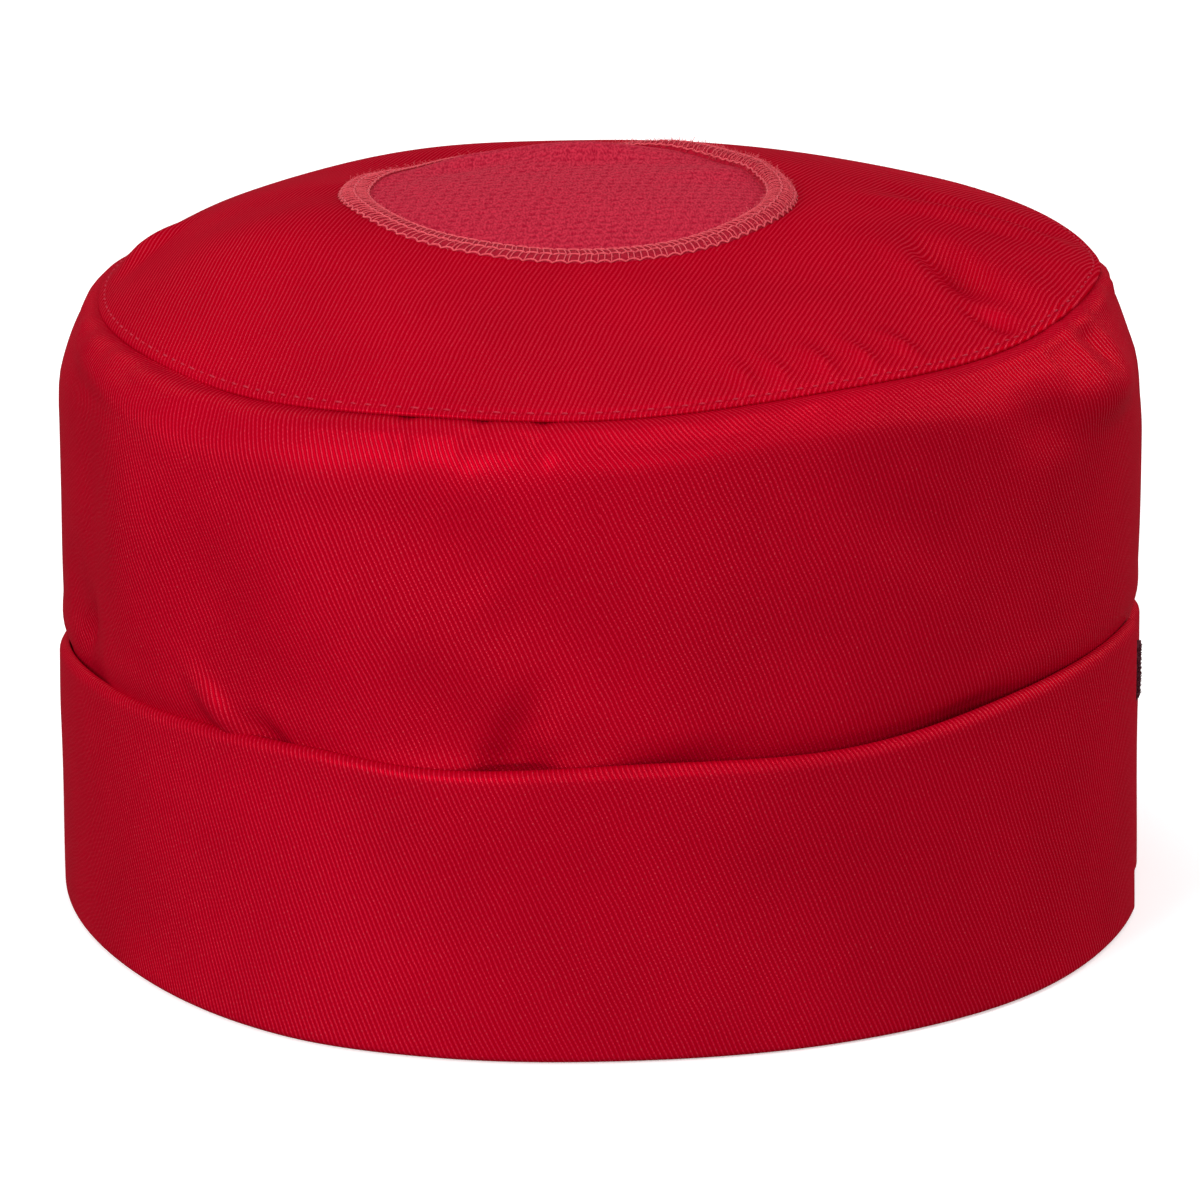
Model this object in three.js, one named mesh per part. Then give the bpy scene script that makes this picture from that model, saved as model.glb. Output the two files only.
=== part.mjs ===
// A red twill chef hat: a tall pillbox with a turned-up cuff and a round knit vent in its top.
// Millimetres, +Z up, origin on the surface that the rim rests on, under the middle of the hat.
// Azimuths are degrees round the hat: 0 is the front (-Y), 90 is the side where the cuff closes (+X).

import * as THREE from "three";

// Driving dimensions
const HEAD_GIRTH = 568;
const WALL_RADIUS = 93.3;
const TWILL = 1.2;
const KNIT = 1.0;
const CUFF_TWILL = 1.7;
const TAPE = 0.9;
const GAP = 0.35;
const LAID_GAP = 1.5 * GAP;

// The vent, a disc of knit a little to one side of the middle, and the raised seam round it
const VENT = { x: -5.5, y: 0, radius: 36.5, middle: 123.4 };
const VENT_SEAM = { width: 6.0, rise: 1.1, edge: 0.4 };

// The cuff: its turned-under lip, the round of its foot, and the lap where it closes. The lap's end,
// length, settling and margin are degrees, its hem and the wall's ease above it millimetres
const CUFF_LIP = 7.0;
const CUFF_FOLD = 2.4;
const LAP = { end: 80, length: 20, settle: 11, margin: 1, hem: 4.0, ease: 3.5 };
const LAP_SINK = CUFF_TWILL + TAPE + 2 * LAID_GAP;
const TAPE_PATCH = { start: 62, end: 85, low: 34.5, high: 46 };

// The wall stands inside the cuff, just above its lip, and tucks under the edge of the top
const FITTED_RADIUS = HEAD_GIRTH / (2 * Math.PI) + TWILL;
const WALL_CLEARANCE = 0.7;
const FOOT_CLEARANCE = 1.75;
const WALL_FOOT = CUFF_TWILL + FOOT_CLEARANCE;
const SEAM_TUCK = 3.0;

// Columns of facets round each piece
const COLUMNS = 90;
const CUFF_COLUMNS = 86;
const VENT_COLUMNS = 45;
const TAPE_COLUMNS = 9;
const TAPE_ROWS = 3;

// The seam between the wall and the top, and how fully the top is domed above it
const SEAM = [
  { azimuth: -180, radius: 85.6, height: 108.8, dome: 0.8 },
  { azimuth: -135, radius: 86.0, height: 106.6, dome: 1.0 },
  { azimuth: -90, radius: 86.1, height: 105.6, dome: 1.0 },
  { azimuth: -64, radius: 86.0, height: 106.0, dome: 0.9 },
  { azimuth: -42, radius: 85.7, height: 105.3, dome: 0.7 },
  { azimuth: -20, radius: 85.5, height: 106.9, dome: 0.45 },
  { azimuth: 0, radius: 85.5, height: 107.7, dome: 0.35 },
  { azimuth: 26, radius: 85.5, height: 110.2, dome: 0.35 },
  { azimuth: 50, radius: 85.6, height: 110.6, dome: 0.45 },
  { azimuth: 70, radius: 85.8, height: 112.8, dome: 0.6 },
  { azimuth: 80, radius: 85.8, height: 113.8, dome: 0.5 },
  { azimuth: 98, radius: 85.2, height: 111.0, dome: 0.4 },
  { azimuth: 135, radius: 85.6, height: 110.8, dome: 0.5 },
];

// Height of the top at the vent, round the vent's own middle
const VENT_RIM = [
  { azimuth: -180, height: 120.4 },
  { azimuth: -135, height: 119.2 },
  { azimuth: -100, height: 122.0 },
  { azimuth: -60, height: 122.6 },
  { azimuth: -30, height: 121.9 },
  { azimuth: 0, height: 121.0 },
  { azimuth: 30, height: 121.1 },
  { azimuth: 60, height: 122.4 },
  { azimuth: 95, height: 122.3 },
  { azimuth: 140, height: 122.3 },
];

// Folds of the top and the knit: middle, heading, half length, half width and rise
const TOP_FOLDS = [
  { x: -30, y: 20, heading: 42, long: 24, wide: 8, rise: 1.3 },
  { x: -10, y: 17, heading: 30, long: 20, wide: 7, rise: 0.8 },
  { x: 19, y: 12, heading: 28, long: 16, wide: 7, rise: 0.7 },
  { x: 2, y: 27, heading: 8, long: 22, wide: 8, rise: 1.3 },
  { x: -34, y: 50, heading: 30, long: 34, wide: 16, rise: 1.6 },
  { x: 61, y: -42, heading: -76, long: 22, wide: 6.5, rise: -1.5 },
  { x: 72, y: -36, heading: -70, long: 20, wide: 7, rise: 1.0 },
  { x: 66, y: 8, heading: -12, long: 24, wide: 8, rise: 1.4 },
  { x: 70, y: 20, heading: -10, long: 20, wide: 8, rise: -1.5 },
  { x: -79, y: 7, heading: 54, long: 14, wide: 6, rise: 1.3 },
  { x: -76, y: 20, heading: 50, long: 14, wide: 7, rise: -1.2 },
];
const TOP_ROWS = [0, 0.24, 0.46, 0.67, 0.85, 1];
const KNIT_ROWS = [0.3, 0.55, 0.78, 1];
const FOLD_FADE = 8;

// The cuff: radius of its foot, radius and height of its top edge
const CUFF = [
  { azimuth: -180, foot: 95.4, edge: 95.6, height: 48.0 },
  { azimuth: -135, foot: 95.4, edge: 94.6, height: 45.0 },
  { azimuth: -98, foot: 94.4, edge: 93.9, height: 43.2 },
  { azimuth: -80, foot: 94.2, edge: 94.6, height: 45.6 },
  { azimuth: -60, foot: 95.0, edge: 94.6, height: 46.4 },
  { azimuth: -32, foot: 99.0, edge: 95.0, height: 48.0 },
  { azimuth: -16, foot: 96.6, edge: 95.4, height: 47.6 },
  { azimuth: 4, foot: 94.4, edge: 95.6, height: 50.0 },
  { azimuth: 26, foot: 95.6, edge: 95.4, height: 50.4 },
  { azimuth: 48, foot: 97.5, edge: 95.2, height: 52.6 },
  { azimuth: 66, foot: 96.0, edge: 95.0, height: 52.8 },
  { azimuth: 80, foot: 94.7, edge: 94.4, height: 52.6 },
  { azimuth: 95, foot: 94.4, edge: 94.0, height: 48.6 },
  { azimuth: 135, foot: 95.4, edge: 94.6, height: 48.4 },
];

// Sections of the shoulder and the wall: fall is the share of the way down from the seam to the cuff's
// edge, and spread the share of the way out from the seam to the wall's full radius
const WALL_SECTIONS = [
  { fall: 0.025, spread: 0.26 },
  { fall: 0.056, spread: 0.52 },
  { fall: 0.105, spread: 0.74 },
  { fall: 0.17, spread: 0.89 },
  { fall: 0.265, spread: 0.97 },
  { fall: 0.52, spread: 1.0 },
  { fall: 0.83, spread: 1.0 },
];

// How the wall draws in to the head where it goes into the cuff: height above the cuff's edge, and the
// share of the way in
const WALL_ROLL = [
  { above: 3.6, drawn: 0.35 },
  { above: 0, drawn: 1 },
  { above: -4.5, drawn: 1 },
];

// Dents and gathers of the wall: middle, half width in degrees, half height, depth, and the lean of
// the fold in degrees for each millimetre up
const WALL_FOLDS = [
  { azimuth: -13, height: 56, wide: 10, tall: 17, depth: 1.4, lean: -0.4 },
  { azimuth: -70, height: 54, wide: 8, tall: 20, depth: 1.4, lean: -0.1 },
  { azimuth: -44, height: 99, wide: 9, tall: 9, depth: 1.2, lean: 0.3 },
  { azimuth: 49, height: 104, wide: 7, tall: 13, depth: 1.5, lean: -0.4 },
  { azimuth: 67, height: 103, wide: 8, tall: 16, depth: 1.8, lean: -0.6 },
  { azimuth: 98, height: 100, wide: 24, tall: 18, depth: 2.8, lean: 0 },
  { azimuth: 24, height: 70, wide: 22, tall: 26, depth: 0.8, lean: 0.2 },
  { azimuth: -112, height: 98, wide: 9, tall: 16, depth: 1.5, lean: -0.3 },
  { azimuth: 175, height: 74, wide: 20, tall: 24, depth: 1.0, lean: 0.2 },
];
const PUCKER = { count: 45, depth: 0.5, tall: 9 };

// Shares of the cuff's face from its top edge to its foot
const CUFF_ROWS = [0, 0.2, 0.44, 0.72, 1];
const CUFF_FOLD_STEPS = 3;

const FINISHES = {
  twill: { color: 0xad0020, roughness: 0.8, metalness: 0 },
  knit: { color: 0xbe2d41, roughness: 0.9, metalness: 0 },
  thread: { color: 0xc83c4c, roughness: 0.85, metalness: 0 },
  tape: { color: 0x4a0c1c, roughness: 0.95, metalness: 0 },
};

const { degToRad, lerp, smoothstep, euclideanModulo } = THREE.MathUtils;

/** Point at a radius, azimuth and height. */
function polar(radius, azimuth, height) {
  const angle = degToRad(azimuth);
  return new THREE.Vector3(radius * Math.sin(angle), -radius * Math.cos(angle), height);
}

/** Signed difference of two azimuths, from -180 to 180. */
function turnBetween(from, to) {
  return euclideanModulo(to - from + 180, 360) - 180;
}

/** Soft bump: 1 at its middle, 0 at half and beyond. */
function swell(offset, half) {
  return 0.5 + 0.5 * Math.cos(Math.PI * Math.min(Math.abs(offset) / half, 1));
}

/** One column of a table at an azimuth, on a smooth closed curve through the table's rows. */
function around(table, column, azimuth) {
  const first = table[0].azimuth;
  const place = first + euclideanModulo(azimuth - first, 360);
  const start = table.findLastIndex((row) => row.azimuth <= place);
  const [before, a, b, after] = [-1, 0, 1, 2].map((step) => {
    const index = start + step;
    const row = table[euclideanModulo(index, table.length)];
    return { place: row.azimuth + 360 * Math.floor(index / table.length), value: row[column] };
  });
  const span = b.place - a.place;
  const s = (place - a.place) / span;
  const slopeA = (span * (b.value - before.value)) / (b.place - before.place);
  const slopeB = (span * (after.value - a.value)) / (after.place - a.place);
  const cubic = 2 * (a.value - b.value) + slopeA + slopeB;
  const square = 3 * (b.value - a.value) - 2 * slopeA - slopeB;
  return ((cubic * s + square) * s + slopeA) * s + a.value;
}

/** Grid of points, point(row, column), each row running round the hat. */
function grid(rows, columns, point) {
  return Array.from({ length: rows }, (_, i) => Array.from({ length: columns }, (_, j) => point(i, j)));
}

/** The other face of a cloth: each point of a face set back along the face's normal. */
function setBack(face, depth, closed) {
  const rows = face.length;
  const columns = face[0].length;
  return grid(rows, columns, (i, j) => {
    const left = closed ? (j + columns - 1) % columns : Math.max(j - 1, 0);
    const right = closed ? (j + 1) % columns : Math.min(j + 1, columns - 1);
    const along = face[i][right].clone().sub(face[i][left]);
    const down = face[Math.min(i + 1, rows - 1)][j].clone().sub(face[Math.max(i - 1, 0)][j]);
    return face[i][j].clone().addScaledVector(down.cross(along).normalize(), -depth);
  });
}

/** Closed solid between two faces of the same grid. Rows run outwards and down, columns round. */
function solidBetween(face, back, closed) {
  const rows = face.length;
  const columns = face[0].length;
  const half = rows * columns;
  const outer = (i, j) => i * columns + (j % columns);
  const inner = (i, j) => half + outer(i, j);
  const triangles = [];
  const quad = (a, b, c, d) => triangles.push(a, b, c, a, c, d);
  const spans = closed ? columns : columns - 1;
  for (let j = 0; j < spans; j += 1) {
    for (let i = 0; i < rows - 1; i += 1) {
      quad(outer(i, j), outer(i + 1, j), outer(i + 1, j + 1), outer(i, j + 1));
      quad(inner(i, j), inner(i, j + 1), inner(i + 1, j + 1), inner(i + 1, j));
    }
    quad(outer(0, j), outer(0, j + 1), inner(0, j + 1), inner(0, j));
    quad(outer(rows - 1, j), inner(rows - 1, j), inner(rows - 1, j + 1), outer(rows - 1, j + 1));
  }
  if (!closed) {
    const last = columns - 1;
    for (let i = 0; i < rows - 1; i += 1) {
      quad(outer(i, 0), inner(i, 0), inner(i + 1, 0), outer(i + 1, 0));
      quad(outer(i, last), outer(i + 1, last), inner(i + 1, last), inner(i, last));
    }
  }
  const points = [...face.flat(), ...back.flat()];
  const geometry = new THREE.BufferGeometry().setFromPoints(points).setIndex(triangles);
  geometry.computeVertexNormals();
  return geometry;
}

/** Round disc between two faces that each have a middle point and rings of points round it. */
function discBetween(top, topMiddle, under, underMiddle) {
  const rings = top.length;
  const columns = top[0].length;
  const half = rings * columns + 1;
  const upper = (i, j) => 1 + i * columns + (j % columns);
  const lower = (i, j) => half + upper(i, j);
  const triangles = [];
  const quad = (a, b, c, d) => triangles.push(a, b, c, a, c, d);
  for (let j = 0; j < columns; j += 1) {
    triangles.push(0, upper(0, j), upper(0, j + 1));
    triangles.push(half, lower(0, j + 1), lower(0, j));
    for (let i = 0; i < rings - 1; i += 1) {
      quad(upper(i, j), upper(i + 1, j), upper(i + 1, j + 1), upper(i, j + 1));
      quad(lower(i, j), lower(i, j + 1), lower(i + 1, j + 1), lower(i + 1, j));
    }
    quad(upper(rings - 1, j), lower(rings - 1, j), lower(rings - 1, j + 1), upper(rings - 1, j + 1));
  }
  const points = [topMiddle, ...top.flat(), underMiddle, ...under.flat()];
  const geometry = new THREE.BufferGeometry().setFromPoints(points).setIndex(triangles);
  geometry.computeVertexNormals();
  return geometry;
}

/** Rise of the folds of the top and the knit at a place in plan. */
function foldRise(x, y) {
  return TOP_FOLDS.reduce((sum, fold) => {
    const heading = degToRad(fold.heading);
    const along = (x - fold.x) * Math.cos(heading) + (y - fold.y) * Math.sin(heading);
    const across = (y - fold.y) * Math.cos(heading) - (x - fold.x) * Math.sin(heading);
    return sum + fold.rise * swell(along, fold.long) * swell(across, fold.wide);
  }, 0);
}

/** Point of the top's outer face: share 0 is at the vent, 1 at the seam. */
function topPoint(azimuth, share) {
  const fromVent = polar(VENT.radius + LAID_GAP, azimuth, around(VENT_RIM, "height", azimuth));
  fromVent.add(new THREE.Vector3(VENT.x, VENT.y, 0));
  const atSeam = polar(around(SEAM, "radius", azimuth), azimuth, around(SEAM, "height", azimuth));
  const dome = around(SEAM, "dome", azimuth);
  const point = fromVent.clone().lerp(atSeam, share);
  point.z = lerp(fromVent.z, atSeam.z, (1 - dome) * share + dome * share * share);
  point.z += foldRise(point.x, point.y) * Math.min(1, (1 - share) * FOLD_FADE);
  return point;
}

/** Point of the knit's upper face at a share of its radius. */
function knitPoint(azimuth, share) {
  const rim = around(VENT_RIM, "height", azimuth);
  const point = polar((VENT.radius - GAP / 2) * share, azimuth, lerp(VENT.middle, rim, share * share));
  point.add(new THREE.Vector3(VENT.x, VENT.y, 0));
  point.z += foldRise(point.x, point.y);
  return point;
}

/** How far the lapped end of the cuff lies below the other end: 1 under the lap, 0 past it. */
function lapDepth(turn) {
  return 1 - smoothstep(turn, LAP.end - LAP.margin, LAP.end + LAP.settle);
}

/** Radius of the cuff's face at an azimuth and a share of the way from its edge to its foot. */
function cuffRadius(azimuth, share) {
  return lerp(around(CUFF, "edge", azimuth), around(CUFF, "foot", azimuth), share * share);
}

/** Height of the wall's edge, under the edge of the top. */
function wallTop(azimuth) {
  return around(SEAM, "height", azimuth) - TWILL - GAP;
}

/** How much of the lap's sink the wall takes at an azimuth and height. */
function wallSink(azimuth, height) {
  const start = LAP.end - LAP.length;
  const edge = around(CUFF, "height", azimuth);
  const before = smoothstep(azimuth, start - LAP.settle, start - LAP.margin);
  const above = smoothstep(height, edge - LAP.hem, edge + LAP.ease);
  return before * lapDepth(azimuth - LAP.margin) * (1 - above);
}

/** Point of the wall's outer face, from its radius before folds, puckers and the lap dent it. */
function wallPoint(azimuth, smooth, height) {
  let radius = smooth;
  for (const fold of WALL_FOLDS) {
    const rise = height - fold.height;
    const across = swell(turnBetween(fold.azimuth + fold.lean * rise, azimuth), fold.wide);
    radius -= fold.depth * across * swell(rise, fold.tall);
  }
  const pucker = 0.5 - 0.5 * Math.cos(degToRad(azimuth * PUCKER.count));
  radius -= PUCKER.depth * pucker * swell(wallTop(azimuth) - height, PUCKER.tall);
  const lapped = cuffRadius(azimuth, 0) - LAP_SINK - CUFF_TWILL - WALL_CLEARANCE;
  radius -= (FITTED_RADIUS - lapped) * wallSink(azimuth, height);
  return polar(radius, azimuth, height);
}

/** Column of the wall's outer face at an azimuth, from its shoulder to its foot. */
function wallColumn(azimuth) {
  const edge = around(CUFF, "height", azimuth);
  const upper = WALL_SECTIONS.map(({ fall, spread }) => {
    const radius = lerp(around(SEAM, "radius", azimuth), WALL_RADIUS, spread);
    return wallPoint(azimuth, radius, lerp(wallTop(azimuth), edge, fall));
  });
  const roll = WALL_ROLL.map(({ above, drawn }) => {
    return wallPoint(azimuth, lerp(WALL_RADIUS, FITTED_RADIUS, drawn), edge + above);
  });
  return [...upper, ...roll, wallPoint(azimuth, FITTED_RADIUS, WALL_FOOT)];
}

/** Outer face of the top, from the vent to the seam. */
function topFace() {
  return grid(TOP_ROWS.length, COLUMNS, (i, j) => topPoint((j * 360) / COLUMNS, TOP_ROWS[i]));
}

/** The wall: a hollow tube whose upper edge is tucked under the edge of the top. */
function sideWall() {
  const [inside, edge] = setBack(topFace(), TWILL + GAP, true).slice(-2);
  const tuck = edge.map((point, j) => {
    const tucked = point.clone().lerp(inside[j], SEAM_TUCK / point.distanceTo(inside[j]));
    tucked.z -= GAP;
    return tucked;
  });
  const columns = edge.map((_, j) => wallColumn((j * 360) / COLUMNS));
  const below = grid(columns[0].length, COLUMNS, (i, j) => columns[j][i]);
  const face = [tuck, edge, ...below];
  return solidBetween(face, setBack(face, TWILL, true), true);
}

/** The top: a low dome of twill round the vent. */
function crownTop() {
  const face = topFace();
  return solidBetween(face, setBack(face, TWILL, true), true);
}

/** The vent: a thin disc of knit with soft waves. */
function meshVent() {
  const face = (drop) => (i, j) => {
    const point = knitPoint((j * 360) / VENT_COLUMNS, KNIT_ROWS[i]);
    point.z -= drop;
    return point;
  };
  const middle = (drop) => knitPoint(0, 0).sub(new THREE.Vector3(0, 0, drop));
  const top = grid(KNIT_ROWS.length, VENT_COLUMNS, face(0));
  const under = grid(KNIT_ROWS.length, VENT_COLUMNS, face(KNIT));
  return discBetween(top, middle(0), under, middle(KNIT));
}

/** The vent's seam: a low rounded band that lies over the edges of the knit and the top. */
function ventSeam() {
  const across = [-1, 0, 1];
  const band = (lift) => (i, j) => {
    const azimuth = (j * 360) / COLUMNS;
    const offset = (across[i] * VENT_SEAM.width) / 2;
    const reach = around(SEAM, "radius", azimuth) - VENT.radius;
    const point = offset < 0
      ? knitPoint(azimuth, 1 + offset / VENT.radius)
      : topPoint(azimuth, offset / reach);
    point.z += LAID_GAP + lift(across[i]);
    return point;
  };
  const crown = (s) => VENT_SEAM.edge + (VENT_SEAM.rise - VENT_SEAM.edge) * (1 - s * s);
  const face = grid(across.length, COLUMNS, band(crown));
  const back = grid(across.length, COLUMNS, band(() => 0));
  return solidBetween(face, back, true);
}

/** The cuff: a doubled band, turned under at its foot, whose ends lap where it closes. */
function cuff() {
  const rows = CUFF_ROWS.length + CUFF_FOLD_STEPS + 1;
  const face = grid(rows, CUFF_COLUMNS, (i, j) => {
    const turn = LAP.end - LAP.length + (j * (360 + LAP.length)) / (CUFF_COLUMNS - 1);
    const under = lapDepth(turn);
    const foot = under * (CUFF_TWILL + GAP);
    const edge = around(CUFF, "height", turn) - under * LAP.hem;
    const sink = under * LAP_SINK;
    if (i < CUFF_ROWS.length) {
      const height = lerp(edge, foot + CUFF_FOLD, CUFF_ROWS[i]);
      return polar(cuffRadius(turn, CUFF_ROWS[i]) - sink, turn, height);
    }
    const outside = cuffRadius(turn, 1) - sink;
    const step = i - CUFF_ROWS.length + 1;
    const bend = (Math.min(step / CUFF_FOLD_STEPS, 1) * Math.PI) / 2;
    const inwards = step > CUFF_FOLD_STEPS ? CUFF_LIP : CUFF_FOLD * (1 - Math.cos(bend));
    const turned = CUFF_FOLD * (1 - Math.sin(bend));
    const straight = CUFF_FOLD * (1 - step / (CUFF_FOLD_STEPS + 1));
    return polar(outside - inwards * (1 - under), turn, foot + lerp(turned, straight, under));
  });
  return solidBetween(face, setBack(face, CUFF_TWILL, false), false);
}

/** The tape: a flat strip on the lapped end of the cuff that shows past the other end. */
function closureTape() {
  const strip = (lift) => (i, j) => {
    const turn = lerp(TAPE_PATCH.start, TAPE_PATCH.end, j / (TAPE_COLUMNS - 1));
    const height = lerp(TAPE_PATCH.high, TAPE_PATCH.low, i / (TAPE_ROWS - 1));
    const under = lapDepth(turn);
    const edge = around(CUFF, "height", turn) - under * LAP.hem;
    const face = edge - CUFF_FOLD - under * (CUFF_TWILL + GAP);
    const radius = cuffRadius(turn, (edge - height) / face) - under * LAP_SINK;
    return polar(radius + LAID_GAP + lift, turn, height);
  };
  const face = grid(TAPE_ROWS, TAPE_COLUMNS, strip(TAPE));
  return solidBetween(face, grid(TAPE_ROWS, TAPE_COLUMNS, strip(0)), false);
}

/** A named piece in its own material. */
function piece(name, geometry, finish) {
  const mesh = new THREE.Mesh(geometry, new THREE.MeshStandardMaterial(finish));
  mesh.name = name;
  return mesh;
}

const hat = new THREE.Group();
hat.name = "chef_hat";
hat.add(piece("side_wall", sideWall(), FINISHES.twill));
hat.add(piece("crown_top", crownTop(), FINISHES.twill));
hat.add(piece("mesh_vent", meshVent(), FINISHES.knit));
hat.add(piece("vent_seam", ventSeam(), FINISHES.thread));
hat.add(piece("cuff", cuff(), FINISHES.twill));
hat.add(piece("closure_tape", closureTape(), FINISHES.tape));

export default hat;
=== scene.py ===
"""Looks of a red twill chef hat: a soft pillbox with a turned-up cuff and a round knit vent in its top.

Tables and methods work in millimetres, with +Z up, and the meshes are written in metres. Azimuths are
degrees round the hat: 0 is the front (-Y), 90 is the side where the cuff closes (+X).
"""

import logging
import math
from collections.abc import Callable
from dataclasses import dataclass, field
from enum import Enum
from functools import partial

import bpy
import numpy as np
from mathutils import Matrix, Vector

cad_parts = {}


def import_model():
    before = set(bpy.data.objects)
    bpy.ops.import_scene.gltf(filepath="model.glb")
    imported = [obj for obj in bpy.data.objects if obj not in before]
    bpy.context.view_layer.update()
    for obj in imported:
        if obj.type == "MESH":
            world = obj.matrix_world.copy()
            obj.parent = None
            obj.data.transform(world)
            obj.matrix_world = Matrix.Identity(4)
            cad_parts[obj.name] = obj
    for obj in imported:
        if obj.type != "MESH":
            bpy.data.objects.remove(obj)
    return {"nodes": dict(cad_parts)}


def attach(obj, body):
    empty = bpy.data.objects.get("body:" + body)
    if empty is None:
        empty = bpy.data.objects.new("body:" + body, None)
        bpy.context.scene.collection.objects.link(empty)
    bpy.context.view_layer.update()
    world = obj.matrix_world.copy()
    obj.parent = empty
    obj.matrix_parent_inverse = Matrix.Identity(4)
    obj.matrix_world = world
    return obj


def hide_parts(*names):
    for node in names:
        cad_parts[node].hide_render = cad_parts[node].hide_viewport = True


log = logging.getLogger("chef_hat")
Array = np.ndarray

MM = 0.001
BODY = "root"
CLOTH_MAP = "cloth_mm"
SEED = 4

# Driving dimensions of the hat
HEAD_GIRTH = 568.0
WALL_RADIUS = 93.3
TWILL = 1.2
KNIT = 1.0
TOP_CLOTH = 0.9
CUFF_TWILL = 1.7
TAPE = 0.9
GAP = 0.35
LAID_GAP = 1.5 * GAP
# Steps of the knit's pattern in plan, along its rows and from row to row
WALE = (2.20, 0.46)
COURSE = (-0.445, -2.70)
FITTED_RADIUS = HEAD_GIRTH / (2 * math.pi) + TWILL


class Grain(Enum):
    """Which way the twill's ribs run across a piece, as the sign of their climb."""

    FALLING = 1.0
    RISING = -1.0


class Slot(Enum):
    """Names of the material slots."""

    TWILL = "twill"
    KNIT = "knit"
    THREAD = "thread"
    TAPE = "tape"


class Hold(Enum):
    """How a sheet of cloth is held."""

    GATHERED = "gathered"
    STRETCHED = "stretched"
    FOLDED = "folded"
    LAID = "laid"


def smoothstep(value: Array, low: float, high: float) -> Array:
    """Soft step from 0 at low to 1 at high.

    Args:
        value: Where the step is read.
        low: Value where it starts.
        high: Value where it is over.
    Returns:
        The step's height, from 0 to 1.
    """
    share = np.clip((value - low) / (high - low), 0, 1)
    return share * share * (3 - 2 * share)


def swell(offset: Array, half: float) -> Array:
    """Soft bump: 1 at its middle, 0 at half and beyond."""
    return 0.5 + 0.5 * np.cos(np.pi * np.minimum(np.abs(offset) / half, 1))


def lerp(start: Array, end: Array, share: Array) -> Array:
    """Value a share of the way from start to end."""
    return start + (end - start) * share


def turn_between(start: Array, end: Array) -> Array:
    """Signed difference of two azimuths, from -180 to 180."""
    return np.mod(end - start + 180, 360) - 180


def unit(vectors: Array) -> Array:
    """Vectors scaled to length 1."""
    return vectors / np.maximum(np.linalg.norm(vectors, axis=-1, keepdims=True), 1e-12)


def polar(radius: Array, azimuth: Array, height: Array) -> Array:
    """Points at a radius, azimuth and height, as an array whose last axis is x, y, z."""
    angle = np.radians(azimuth)
    return np.stack(np.broadcast_arrays(radius * np.sin(angle), -radius * np.cos(angle), height), -1)


def face_normals(face: Array, closed: bool) -> Array:
    """Outward normals of a grid of points whose rows run outwards and down, and whose columns run round.

    Args:
        face: Points, rows by columns.
        closed: Whether the last column meets the first.
    Returns:
        A normal for each point.
    """
    down = np.gradient(face, axis=0)
    if closed:
        along = np.roll(face, -1, axis=1) - np.roll(face, 1, axis=1)
    else:
        along = np.gradient(face, axis=1)
    return unit(np.cross(down, along))


def smooth_rows(controls: Array, steps: tuple[int, ...]) -> Array:
    """Rows on a smooth curve through a few control rows.

    Args:
        controls: Control rows, along the first axis.
        steps: How many rows each span between two control rows is cut into.
    Returns:
        The rows, from the first control row to the last.
    """
    chords = np.linalg.norm(np.diff(controls, axis=0), axis=-1).reshape(len(steps), -1).mean(1)
    knots = np.concatenate([[0], np.cumsum(chords)])
    reach = knots.reshape((-1,) + (1,) * (controls.ndim - 1))
    slopes = np.gradient(controls, knots, axis=0)
    rows = []
    for k, count in enumerate(steps):
        span = reach[k + 1] - reach[k]
        for s in np.arange(count) / count:
            start = (1 + 2 * s) * (1 - s) ** 2 * controls[k] + s * (1 - s) ** 2 * span * slopes[k]
            end = s * s * (3 - 2 * s) * controls[k + 1] + s * s * (s - 1) * span * slopes[k + 1]
            rows.append(start + end)
    return np.array(rows + [controls[-1]])


@dataclass(frozen=True)
class RoundTable:
    """Short table of values round the hat. Each column is a smooth closed curve through its rows."""

    columns: tuple[str, ...]
    rows: tuple[tuple[float, ...], ...]

    def at(self, column: str, azimuth: Array) -> Array:
        """Value of a column at each azimuth.

        Args:
            column: The column's name.
            azimuth: Degrees round the hat.
        Returns:
            The values, in the shape of azimuth.
        """
        table = np.array(self.rows)
        places = np.concatenate([table[-1:, 0] - 360, table[:, 0], table[:2, 0] + 360])
        column_at = self.columns.index(column)
        values = np.concatenate([table[-1:, column_at], table[:, column_at], table[:2, column_at]])
        place = table[0, 0] + np.mod(azimuth - table[0, 0], 360)
        a = np.searchsorted(table[:, 0], place, side="right")
        span = places[a + 1] - places[a]
        s = (place - places[a]) / span
        slope_a = span * (values[a + 1] - values[a - 1]) / (places[a + 1] - places[a - 1])
        slope_b = span * (values[a + 2] - values[a]) / (places[a + 2] - places[a])
        cubic = 2 * (values[a] - values[a + 1]) + slope_a + slope_b
        square = 3 * (values[a + 1] - values[a]) - 2 * slope_a - slope_b
        return ((cubic * s + square) * s + slope_a) * s + values[a]


@dataclass(frozen=True)
class Fold:
    """Soft fold on a surface laid out flat: its middle, heading, half length, half width and rise."""

    x: float
    y: float
    heading: float
    long: float
    wide: float
    rise: float

    def height(self, x: Array, y: Array) -> Array:
        """Rise of the fold at places on the flat surface."""
        heading = math.radians(self.heading)
        along = (x - self.x) * math.cos(heading) + (y - self.y) * math.sin(heading)
        across = (y - self.y) * math.cos(heading) - (x - self.x) * math.sin(heading)
        return self.rise * swell(along, self.long) * swell(across, self.wide)


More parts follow.
